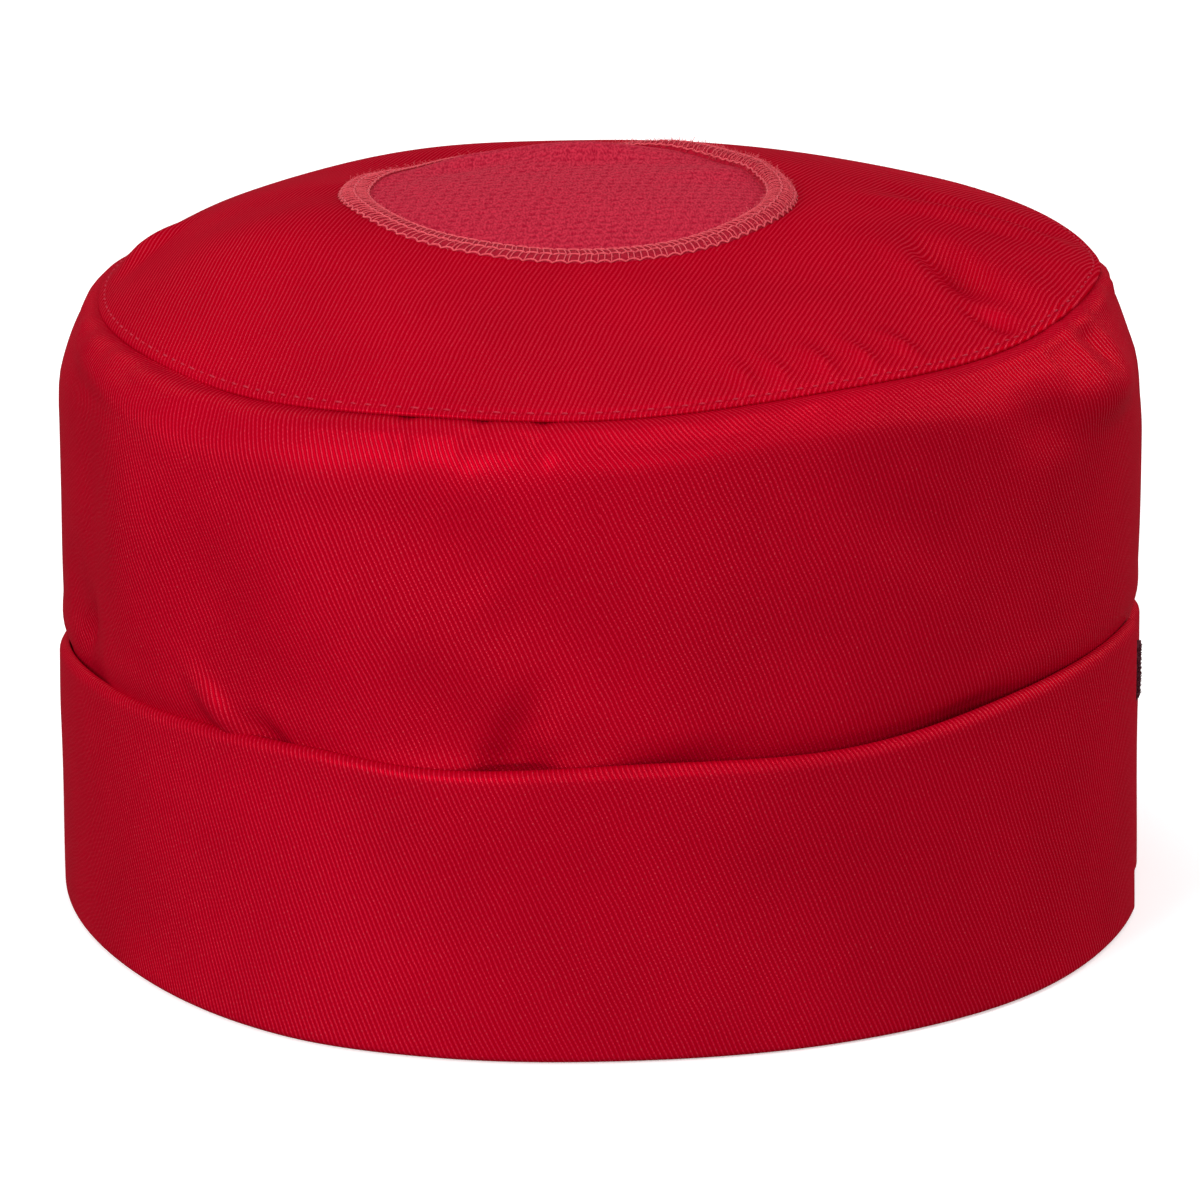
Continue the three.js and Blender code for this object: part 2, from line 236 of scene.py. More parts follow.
@dataclass(frozen=True)
class WallFold:
    """Dent of the wall: middle, half width in degrees, half height, depth, and lean in degrees a mm up."""

    azimuth: float
    height: float
    wide: float
    tall: float
    depth: float
    lean: float

    def dent(self, azimuth: Array, height: Array) -> Array:
        """Depth of the dent at an azimuth and height."""
        rise = height - self.height
        across = swell(turn_between(self.azimuth + self.lean * rise, azimuth), self.wide)
        return self.depth * across * swell(rise, self.tall)


@dataclass(frozen=True)
class HatForm:
    """The hat's resting form, which its pieces share."""

    vent_middle: tuple[float, float] = (-5.5, 0.0)
    vent_radius: float = 36.5
    vent_height: float = 124.4
    fold_fade: float = 8.0
    lap_end: float = 77.0
    lap_length: float = 20.0
    lap_settle: float = 15.0
    lap_margin: float = 1.0
    lap_hem: float = 4.0
    lap_ease: float = 1.5
    lap_sink: float = CUFF_TWILL + TAPE + 2 * LAID_GAP
    wall_clearance: float = 0.7
    cuff_lean: float = 0.25
    seam: RoundTable = RoundTable(("azimuth", "radius", "height", "dome", "puff", "shoulder", "bevel"), (
        (-180, 85.6, 108.8, 0.8, 0.4, 10.0, 0.3),
        (-135, 86.0, 106.6, 1.0, 0.4, 11.0, 0.4),
        (-90, 86.1, 105.6, 1.0, 0.5, 14.0, 0.4),
        (-64, 86.0, 106.0, 0.9, 0.5, 11.0, 0.05),
        (-42, 85.7, 105.3, 0.7, 0.45, 11.0, -0.2),
        (-20, 85.5, 106.9, 0.45, 0.4, 11.5, 0.0),
        (0, 85.5, 107.7, 0.35, 0.4, 7.0, 0.0),
        (26, 85.5, 110.2, 0.35, 0.45, 6.0, 0.0),
        (50, 85.6, 110.6, 0.45, 0.6, 9.0, 0.25),
        (70, 85.8, 112.4, 0.6, 0.7, 13.0, 0.5),
        (80, 85.8, 112.8, 0.5, 0.7, 15.0, 0.6),
        (98, 85.2, 110.9, 0.4, 0.6, 15.0, 0.6),
        (135, 85.6, 110.3, 0.5, 0.5, 11.0, 0.4),
    ))
    vent_rim: RoundTable = RoundTable(("azimuth", "height"), (
        (-180, 120.6),
        (-135, 119.6),
        (-100, 122.0),
        (-60, 122.6),
        (-30, 121.9),
        (0, 121.0),
        (30, 121.1),
        (60, 122.4),
        (95, 122.3),
        (140, 122.3),
    ))
    cuff: RoundTable = RoundTable(("azimuth", "foot", "edge", "height", "gape", "waist"), (
        (-180, 95.4, 95.6, 48.0, 0.3, 0.2),
        (-135, 95.4, 94.6, 45.0, 0.3, 0.2),
        (-98, 94.4, 93.9, 43.2, 0.3, 0.2),
        (-80, 94.2, 94.6, 46.2, 0.3, 0.2),
        (-60, 95.0, 94.6, 48.1, 0.0, 0.0),
        (-32, 98.2, 94.9, 49.8, 0.0, -0.3),
        (-16, 96.7, 95.9, 49.4, 0.0, 0.1),
        (4, 94.4, 95.6, 51.4, 0.1, 0.8),
        (26, 95.0, 95.4, 51.1, 0.8, 0.5),
        (48, 96.6, 95.2, 53.6, 0.9, 0.3),
        (66, 96.0, 95.0, 53.9, 0.2, 0.3),
        (80, 95.4, 95.0, 52.6, 0.3, 0.3),
        (95, 94.9, 94.5, 48.6, 0.3, 0.2),
        (135, 95.4, 94.6, 48.4, 0.3, 0.2),
    ))
    top_folds: tuple[Fold, ...] = (
        Fold(-30, 20, 42, 24, 8, 1.3),
        Fold(-10, 17, 30, 20, 7, 0.8),
        Fold(19, 12, 28, 16, 7, 0.7),
        Fold(-7, 26, 4, 32, 11, 2.9),
        Fold(-34, 50, 30, 34, 16, 0.9),
        Fold(-56, -20, 8, 30, 24, 1.8),
        Fold(52, -32, -68, 18, 4.5, 0.8),
        Fold(59.5, -27, -70, 18, 7, -4.0),
        Fold(66, -46, -40, 10, 4.5, -2.6),
        Fold(74, -34, -66, 18, 7, 0.9),
        Fold(64, 4, -13, 26, 8, 1.8),
        Fold(68, 16, -11, 26, 8, -1.6),
        Fold(-79, 7, 54, 16, 6, 2.0),
        Fold(-76, 20, 50, 14, 7, -1.4),
        Fold(23, -77, -74, 10, 2.8, 1.1),
        Fold(29, -75, -69, 10, 2.6, 1.1),
        Fold(36, -71, -64, 10, 2.8, 1.2),
        Fold(43, -67, -58, 10, 2.6, 1.1),
        Fold(50, -62, -51, 10, 2.8, 1.1),
    )

    def fold_rise(self, x: Array, y: Array) -> Array:
        """Rise of the folds of the top and the knit at a place in plan."""
        return sum(fold.height(x, y) for fold in self.top_folds)

    def seam_reach(self, azimuth: Array) -> Array:
        """Distance in plan from the vent's edge to the seam of the top."""
        inner = polar(self.vent_radius + LAID_GAP, azimuth, 0.0)[..., :2] + self.vent_middle
        outer = polar(self.seam.at("radius", azimuth), azimuth, 0.0)[..., :2]
        return np.linalg.norm(outer - inner, axis=-1)

    def top_point(self, azimuth: Array, share: Array) -> Array:
        """Points of the top's outer face.

        Args:
            azimuth: Degrees round the hat.
            share: 0 at the vent, 1 at the seam.
        Returns:
            The points.
        """
        azimuth, share = np.broadcast_arrays(azimuth, share)
        inner = polar(self.vent_radius + LAID_GAP, azimuth, self.vent_rim.at("height", azimuth))
        inner[..., :2] += self.vent_middle
        outer = polar(self.seam.at("radius", azimuth), azimuth, self.seam.at("height", azimuth))
        dome = self.seam.at("dome", azimuth)
        point = lerp(inner, outer, share[..., None])
        point[..., 2] = lerp(inner[..., 2], outer[..., 2], (1 - dome) * share + dome * share * share)
        fade = np.minimum(1, (1 - share) * self.fold_fade)
        point[..., 2] += self.fold_rise(point[..., 0], point[..., 1]) * fade
        return point

    def knit_height(self, x: Array, y: Array) -> Array:
        """Height of the knit's upper face at a place in plan."""
        from_x = x - self.vent_middle[0]
        from_y = y - self.vent_middle[1]
        share = np.hypot(from_x, from_y) / self.vent_radius
        rim = self.vent_rim.at("height", np.degrees(np.arctan2(from_x, -from_y)))
        return lerp(self.vent_height, rim, np.minimum(share, 1) ** 2) + self.fold_rise(x, y)

    def lap_depth(self, turn: Array) -> Array:
        """How far the lapped end of the cuff lies below the other end: 1 under the lap, 0 past it."""
        return 1 - smoothstep(turn, self.lap_end - self.lap_margin, self.lap_end + self.lap_settle)

    def cuff_radius(self, azimuth: Array, share: Array) -> Array:
        """Radius of the cuff's face, a share of the way from its edge to its foot."""
        lean = self.cuff_lean * (1 - smoothstep(share, 0.0, 0.3))
        lean = lean + self.cuff.at("waist", azimuth) * swell(share - 0.5, 0.5)
        return lerp(self.cuff.at("edge", azimuth), self.cuff.at("foot", azimuth), share * share) - lean

    def lapped_wall(self, azimuth: Array, height: Array, radius: Array) -> Array:
        """Radius of the wall once it makes room for the lap.

        Args:
            azimuth: Degrees round the hat, from 0 to 360.
            height: Height of each point.
            radius: The wall's radius before that.
        Returns:
            The radius.
        """
        start = self.lap_end - self.lap_length
        edge = self.cuff.at("height", azimuth)
        before = smoothstep(azimuth, start - self.lap_settle, start - self.lap_margin)
        above = smoothstep(height - edge, -self.lap_hem - self.lap_ease, -self.lap_margin)
        behind = self.lap_sink + CUFF_TWILL + self.wall_clearance
        room = self.cuff_radius(azimuth, np.array(0.0)) - behind
        share = before * self.lap_depth(azimuth - self.lap_margin) * (1 - above)
        return lerp(radius, np.minimum(radius, room), share)


@dataclass
class MeshParts:
    """Points, four-sided faces and cloth places of one mesh, gathered part by part."""

    points: list[Array] = field(default_factory=list)
    quads: list[Array] = field(default_factory=list)
    places: list[Array] = field(default_factory=list)
    count: int = 0

    def add(self, points: Array, quads: Array, places: Array) -> None:
        """Add faces.

        Args:
            points: Their points, n by 3.
            quads: Four point numbers for each face.
            places: Where each corner lies on the flat cloth, in millimetres.
        """
        self.points.append(points.reshape(-1, 3))
        self.quads.append(quads + self.count)
        self.places.append(places.reshape(-1, 2))
        self.count += len(self.points[-1])

    def add_grid(self, points: Array, places: Array, ring: bool, loop: bool = True) -> None:
        """Add a grid of faces.

        Args:
            points: Points, rows by columns.
            places: Places on the cloth, with one column more than points where the grid is a ring.
            ring: Whether the last column meets the first.
            loop: Whether the last row meets the first.
        """
        rows, columns = points.shape[:2]
        row = np.arange(rows if loop else rows - 1)
        column = np.arange(columns if ring else columns - 1)
        i, j = np.meshgrid(row, column, indexing="ij")
        down = (i + 1) % rows
        along = (j + 1) % columns
        corners = [(i, j), (down, j), (down, along), (i, along)]
        quads = np.stack([a * columns + b for a, b in corners], -1).reshape(-1, 4)
        spots = [places[i, j], places[down, j], places[down, j + 1], places[i, j + 1]]
        self.add(points, quads, np.stack(spots, 2))

    def add_band(self, face: Array, back: Array, places: Array, ring: bool) -> None:
        """Add a closed solid between two faces of the same grid.

        Args:
            face: Points of the outer face, rows by columns.
            back: Points of the inner face.
            places: Places on the cloth, the same for both faces.
            ring: Whether the last column meets the first.
        """
        first = self.count
        self.add_grid(np.concatenate([face, back[::-1]]), np.concatenate([places, places[::-1]]), ring)
        if ring:
            return
        rows, columns = face.shape[:2]
        i = np.arange(rows - 1)
        corners = np.stack([i, i + 1, 2 * rows - 2 - i, 2 * rows - 1 - i], -1)
        row = np.minimum(corners, 2 * rows - 1 - corners)
        for column, order in ((0, (0, 3, 2, 1)), (columns - 1, (0, 1, 2, 3))):
            quads = (corners * columns + column)[:, order] + first - self.count
            self.add(face[:0, 0], quads, places[row, column][:, order])

    def add_tubes(self, paths: Array, radius: Array, sides: int, up: Array, ring: bool = False) -> None:
        """Add round threads along paths.

        Args:
            paths: Points, threads by points along each.
            radius: Radius, one for all or one for each point.
            sides: Even number of sides.
            up: Direction away from the cloth under each thread.
            ring: Whether each path meets its own start.
        """
        threads, steps = paths.shape[:2]
        if ring:
            ahead = unit(np.roll(paths, -1, axis=1) - np.roll(paths, 1, axis=1))
        else:
            ahead = unit(np.gradient(paths, axis=1))
        side = unit(np.cross(ahead, up))
        out = np.cross(side, ahead)
        turn = np.arange(sides) * 2 * np.pi / sides
        round_out = np.cos(turn)[:, None] * out[:, :, None] + np.sin(turn)[:, None] * side[:, :, None]
        radius = np.broadcast_to(radius, (threads, steps))
        points = paths[:, :, None] + radius[:, :, None, None] * round_out
        i, j = np.meshgrid(np.arange(steps if ring else steps - 1), np.arange(sides), indexing="ij")
        ahead_i = (i + 1) % steps
        beside = (j + 1) % sides
        corners = ((i, j), (i, beside), (ahead_i, beside), (ahead_i, j))
        quads = np.stack([a * sides + b for a, b in corners], -1).reshape(-1, 4)
        if not ring:
            half = np.arange(1, sides // 2)
            caps = np.stack([half - 1, half, sides - 1 - half, sides - half], -1) % sides
            last = (steps - 1) * sides + caps
            quads = np.concatenate([quads, caps[:, ::-1], last])
        whole = quads[None] + (np.arange(threads) * steps * sides)[:, None, None]
        whole = whole.reshape(-1, 4)
        lengths = np.linalg.norm(np.diff(paths, axis=1, prepend=paths[:, :1]), axis=-1)
        along = np.cumsum(lengths, axis=1)[:, :, None]
        spots = np.stack(np.broadcast_arrays(along, turn * radius[:, :, None]), -1).reshape(-1, 2)
        self.add(points, whole, spots[whole])

    def build(self, name: str) -> bpy.types.Object:
        """Make the object.

        Args:
            name: The piece's name.
        Returns:
            The object, in metres, smooth, with its cloth places as a UV map in millimetres.
        """
        mesh = bpy.data.meshes.new(name)
        points = np.concatenate(self.points) * MM
        mesh.from_pydata(points.tolist(), [], np.concatenate(self.quads).tolist())
        layer = mesh.uv_layers.new(name=CLOTH_MAP)
        layer.uv.foreach_set("vector", np.concatenate(self.places).astype(np.float32).ravel())
        mesh.shade_smooth()
        piece = bpy.data.objects.new(name, mesh)
        bpy.context.scene.collection.objects.link(piece)
        return piece


@dataclass(frozen=True)
class Cut:
    """The flat cloth that a piece was cut from, in millimetres, and how it is held."""

    width: float
    length: float
    hold: Hold
    rests_on: tuple[str, ...]
    area: float | None = None


def linear(colour: str) -> tuple[float, float, float, float]:
    """Linear colour of an sRGB hex value.

    Args:
        colour: Six hex digits after a hash.
    Returns:
        Red, green, blue and alpha.
    """
    parts = [int(colour[k:k + 2], 16) / 255 for k in (1, 3, 5)]
    red, green, blue = (p / 12.92 if p <= 0.04045 else ((p + 0.055) / 1.055) ** 2.4 for p in parts)
    return red, green, blue, 1.0


def add_node(tree: bpy.types.NodeTree, kind: str, inputs: dict, **settings) -> bpy.types.Node:
    """Add a node with its settings and links.

    Args:
        tree: The node tree.
        kind: The node's type, without the word ShaderNode.
        inputs: Socket name or number, to a value or to the output that feeds it.
        settings: Attributes of the node.
    Returns:
        The node.
    """
    node = tree.nodes.new("ShaderNode" + kind)
    for name, value in settings.items():
        setattr(node, name, value)
    for socket, value in inputs.items():
        if isinstance(value, bpy.types.NodeSocket):
            tree.links.new(value, node.inputs[socket])
        else:
            node.inputs[socket].default_value = value
    return node


def new_material(name: str) -> tuple[bpy.types.Material, Callable[..., bpy.types.Node]]:
    """Make an empty node material.

    Args:
        name: The material's name.
    Returns:
        The material, without nodes, and add_node for its own tree.
    """
    material = bpy.data.materials.new(name)
    material.use_nodes = True
    material.node_tree.nodes.clear()
    return material, partial(add_node, material.node_tree)


def fit(piece: bpy.types.Object, material: bpy.types.Material,
        node: str | None = None) -> None:
    """Dress a piece and tie it to the hat.

    Args:
        piece: The object.
        material: Its finish.
        node: The solid that it stands for, if any.
    """
    piece.data.materials.append(material)
    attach(piece, BODY)
    if node:
        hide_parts(node)
    log.info("%s: %d points, %d faces", piece.name, len(piece.data.vertices), len(piece.data.polygons))


@dataclass(frozen=True)
class WovenTwill:
    """Cotton and polyester twill, woven in slanting ribs and dyed red.

    To the eye it has fine beaded ribs and small pale neps where fibres stand up. The valleys' darker
    colour is painted shade, and the ribs' paler, bluer red is painted sheen over the cloth's own red. The
    dyed fibres gleam softly in their own red where a rib turns to the light, which a little metal in the
    shader gives, and a thin white haze lies over that.
    """

    name: str
    grain: Grain
    # rib: the cloth's red with a painted sheen; valley: painted shade in the weave's low places
    rib: str = "#c2012a"
    valley: str = "#aa0018"
    nep: str = "#e25a6a"
    pitch: float = 0.78
    float_length: float = 0.7
    lean: float = 25.0
    rib_height: float = 0.1
    slub: float = 9.0
    fibre: float = 0.45
    cloud: float = 28.0
    roughness: float = 0.36
    gleam: float = 0.18
    sheen: str = "#cc7078"
    haze: float = 0.26
    # How far the slubs push the ribs and the floats along, in turns of their waves
    rib_stray: float = 0.9
    float_stray: float = 3.0
    # Part of each wave that rises from the valley to the crest
    trough: float = -0.3
    crest: float = 0.95
    bead: float = 0.3
    bead_ground: float = 0.75
    fibre_relief: float = 0.3
    cloud_range: tuple[float, float] = (0.3, 0.7)
    fading: tuple[float, float] = (0.94, 1.06)
    nep_range: tuple[float, float] = (0.58, 0.82)
    nep_share: float = 0.4

    def build(self) -> bpy.types.Material:
        """Make the material from the cloth's own coordinates in millimetres."""
        material, node = new_material(self.name)
        level = math.cos(math.radians(self.lean))
        slope = self.grain.value * math.sin(math.radians(self.lean))
        across = (level / self.pitch, slope / self.pitch, 0)
        along = (-slope / self.float_length, level / self.float_length, 0)
        cloth = node("UVMap", {}, uv_map=CLOTH_MAP).outputs["UV"]
        slub, fibre, cloud = (
            node("TexNoise", {"Vector": cloth, "Scale": 1 / size, "Detail": 2.0}).outputs[0]
            for size in (self.slub, self.fibre, self.cloud))
        waves = []
        for direction, stray in ((across, self.rib_stray), (along, self.float_stray)):
            phase = node("VectorMath", {0: cloth, 1: direction}, operation="DOT_PRODUCT")
            moved = node("Math", {0: slub, 1: stray, 2: phase.outputs["Value"]}, operation="MULTIPLY_ADD")
            turn = node("Math", {0: moved.outputs[0], 1: 2 * math.pi}, operation="MULTIPLY")
            wave = node("Math", {0: turn.outputs[0]}, operation="SINE")
            swelled = node("MapRange",
                           {"Value": wave.outputs[0], "From Min": self.trough, "From Max": self.crest},
                           interpolation_type="SMOOTHSTEP")
            waves.append(swelled.outputs[0])
        bead = node("Math", {0: waves[1], 1: self.bead, 2: self.bead_ground}, operation="MULTIPLY_ADD")
        weave = node("Math", {0: waves[0], 1: bead.outputs[0]}, operation="MULTIPLY").outputs[0]
        relief = node("Math", {0: fibre, 1: self.fibre_relief, 2: weave}, operation="MULTIPLY_ADD")
        bump = node("Bump", {"Height": relief.outputs[0], "Strength": 1.0,
                             "Distance": self.rib_height * MM})
        # Valleys take the darker colour and crests the paler one: painted shade and painted sheen
        yarn = node("Mix", {0: weave, 6: linear(self.valley), 7: linear(self.rib)}, data_type="RGBA")
        fade = node("MapRange", {
            "Value": cloud, "From Min": self.cloud_range[0], "From Max": self.cloud_range[1],
            "To Min": self.fading[0], "To Max": self.fading[1]})
        # Random dye cloud laid over the painted rib sheen and valley shade
        dyed = node("VectorMath", {0: yarn.outputs[2], "Scale": fade.outputs[0]}, operation="SCALE")
        standing = node("MapRange", {
            "Value": fibre, "From Min": self.nep_range[0], "From Max": self.nep_range[1],
            "To Max": self.nep_share})
        speck = node("Math", {0: standing.outputs[0], 1: weave}, operation="MULTIPLY")
        colour = node("Mix", {0: speck.outputs[0], 6: dyed.outputs[0], 7: linear(self.nep)},
                      data_type="RGBA")
        haze = node("Math", {0: weave, 1: self.haze}, operation="MULTIPLY")
        shader = node("BsdfPrincipled", {
            "Base Color": colour.outputs[2], "Normal": bump.outputs[0], "Roughness": self.roughness,
            "Metallic": self.gleam, "Specular IOR Level": 0.0, "Specular Tint": linear(self.sheen),
            "Coat Weight": haze.outputs[0], "Coat Roughness": self.roughness,
            "Coat Normal": bump.outputs[0]})
        node("OutputMaterial", {"Surface": shader.outputs[0]})
        return material


@dataclass(frozen=True)
class OpenKnit:
    """Spun polyester, knitted with a small hollow at each repeat of its loops and dyed red.

    To the eye it is soft and matt, paler than the twill, with short dark strokes in slanting rows on a
    hazy ground of small loops. The strokes are painted shade in the hollows, and the colour is darker
    again where the loops' bump is low, which is painted shade between the loops.
    """

    name: str
    yarn: str = "#c42840"
    # Colour of the hollows: painted shade of the yarn's red
    hollow: str = "#9c0a29"
    loop: tuple[float, float, float] = (0.36, 1.05, 1.0)
    stray: float = 1.3
    stray_reach: float = 2.2
    relief: float = 0.2
    # How much the rows and the columns of loops count in the pattern of hollows
    wale_share: float = 0.7
    course_share: float = 1.0
    hollow_range: tuple[float, float] = (0.1, 1.5)
    hollow_shade: float = 0.55
    loop_shade_range: tuple[float, float] = (0.36, 0.64)
    loop_shade_share: tuple[float, float] = (0.85, -0.1)
    roughness: float = 0.9
    specular: float = 0.05
    nap: float = 0.03
    nap_roughness: float = 0.4
    nap_tint: str = "#ffc8cc"

    def build(self) -> bpy.types.Material:
        """Make the material from the knit's own coordinates in millimetres."""
        material, node = new_material(self.name)
        place = node("UVMap", {}, uv_map=CLOTH_MAP).outputs["UV"]
        stray = node("TexNoise", {"Vector": place, "Scale": 1 / self.stray, "Detail": 1.0})
        centred = node("VectorMath", {0: stray.outputs[1], 1: (0.5, 0.5, 0.5)}, operation="SUBTRACT")
        moved = node("VectorMath", {0: centred.outputs[0], 1: (self.stray_reach,) * 3, 2: place},
                     operation="MULTIPLY_ADD")
        area = WALE[0] * COURSE[1] - WALE[1] * COURSE[0]
        depth = 0.0
        sets = ((COURSE[1], -COURSE[0], self.wale_share), (-WALE[1], WALE[0], self.course_share))
        for x, y, share in sets:
            turns = (2 * math.pi * x / area, 2 * math.pi * y / area, 0)
            phase = node("VectorMath", {0: moved.outputs[0], 1: turns}, operation="DOT_PRODUCT")
            wave = node("Math", {0: phase.outputs["Value"]}, operation="COSINE")
            depth = node("Math", {0: wave.outputs[0], 1: -share, 2: depth},
                         operation="MULTIPLY_ADD").outputs[0]
        # Darkening of the pattern's hollows: painted shade
        hollow = node("MapRange", {
            "Value": depth, "From Min": self.hollow_range[0], "From Max": self.hollow_range[1],
            "To Max": self.hollow_shade})
        cells = node("VectorMath", {0: place, 1: self.loop}, operation="DIVIDE")
        loop = node("TexNoise", {"Vector": cells.outputs[0], "Scale": 1.0, "Detail": 1.0})
        # Darker where the loops' bump is low: painted shade between the loops
        mottle = node("MapRange", {
            "Value": loop.outputs[0], "From Min": self.loop_shade_range[0], "From Max": self.loop_shade_range[1],
            "To Min": self.loop_shade_share[0], "To Max": self.loop_shade_share[1]})
        dark = node("Math", {0: hollow.outputs[0], 1: mottle.outputs[0]}, operation="ADD")
        colour = node("Mix", {0: dark.outputs[0], 6: linear(self.yarn), 7: linear(self.hollow)},
                      data_type="RGBA")
        bump = node("Bump", {"Height": loop.outputs[0], "Strength": 1.0, "Distance": self.relief * MM})
        shader = node("BsdfPrincipled", {
            "Base Color": colour.outputs[2], "Normal": bump.outputs[0], "Roughness": self.roughness,
            "Specular IOR Level": self.specular, "Sheen Weight": self.nap,
            "Sheen Roughness": self.nap_roughness, "Sheen Tint": linear(self.nap_tint)})
        node("OutputMaterial", {"Surface": shader.outputs[0]})
        return material


@dataclass(frozen=True)
class FuzzyYarn:
    """Spun polyester yarn or brushed loops, dyed: matt and soft, with a twist and a pale haze of fibres."""

    name: str
    light: str
    dark: str
    twist: float = 0.55
    relief: float = 0.08
    ply_range: tuple[float, float] = (0.35, 0.65)
    roughness: float = 0.9
    specular: float = 0.1
    nap: float = 0.5
    nap_roughness: float = 0.45
    nap_tint: str = "#ffc8cc"

    def build(self) -> bpy.types.Material:
        """Make the material from the yarn's own coordinates in millimetres."""
        material, node = new_material(self.name)
        place = node("UVMap", {}, uv_map=CLOTH_MAP).outputs["UV"]
        strand = node("TexNoise", {"Vector": place, "Scale": 1 / self.twist, "Detail": 3.0})
        ply = node("MapRange", {
            "Value": strand.outputs[0], "From Min": self.ply_range[0], "From Max": self.ply_range[1]})
        colour = node("Mix", {0: ply.outputs[0], 6: linear(self.dark), 7: linear(self.light)},
                      data_type="RGBA")
        bump = node("Bump", {"Height": strand.outputs[0], "Strength": 1.0, "Distance": self.relief * MM})
        shader = node("BsdfPrincipled", {
            "Base Color": colour.outputs[2], "Normal": bump.outputs[0], "Roughness": self.roughness,
            "Specular IOR Level": self.specular, "Sheen Weight": self.nap,
            "Sheen Roughness": self.nap_roughness, "Sheen Tint": linear(self.nap_tint)})
        node("OutputMaterial", {"Surface": shader.outputs[0]})
        return material


@dataclass(frozen=True)
class PaintedFloor:
    """Matt white painted board, lit from below: plain, pale, with the faintest mottle of a roller."""

    name: str = "painted_board_matt_white"
    light: str = "#fbfbfb"
    dark: str = "#f7f7f7"
    glow: float = 0.4
    mottle: float = 60.0
    roughness: float = 0.9
    specular: float = 0.1

    def build(self) -> bpy.types.Material:
        """Make the material from the floor's own coordinates."""
        material, node = new_material(self.name)
        place = node("TexCoord", {}).outputs["Object"]
        roller = node("TexNoise", {"Vector": place, "Scale": 1 / (self.mottle * MM)})
        colour = node("Mix", {0: roller.outputs[0], 6: linear(self.dark), 7: linear(self.light)},
                      data_type="RGBA")
        shader = node("BsdfPrincipled", {
            "Base Color": colour.outputs[2], "Roughness": self.roughness,
            "Specular IOR Level": self.specular, "Emission Color": linear(self.light),
            "Emission Strength": self.glow})
        node("OutputMaterial", {"Surface": shader.outputs[0]})
        return material


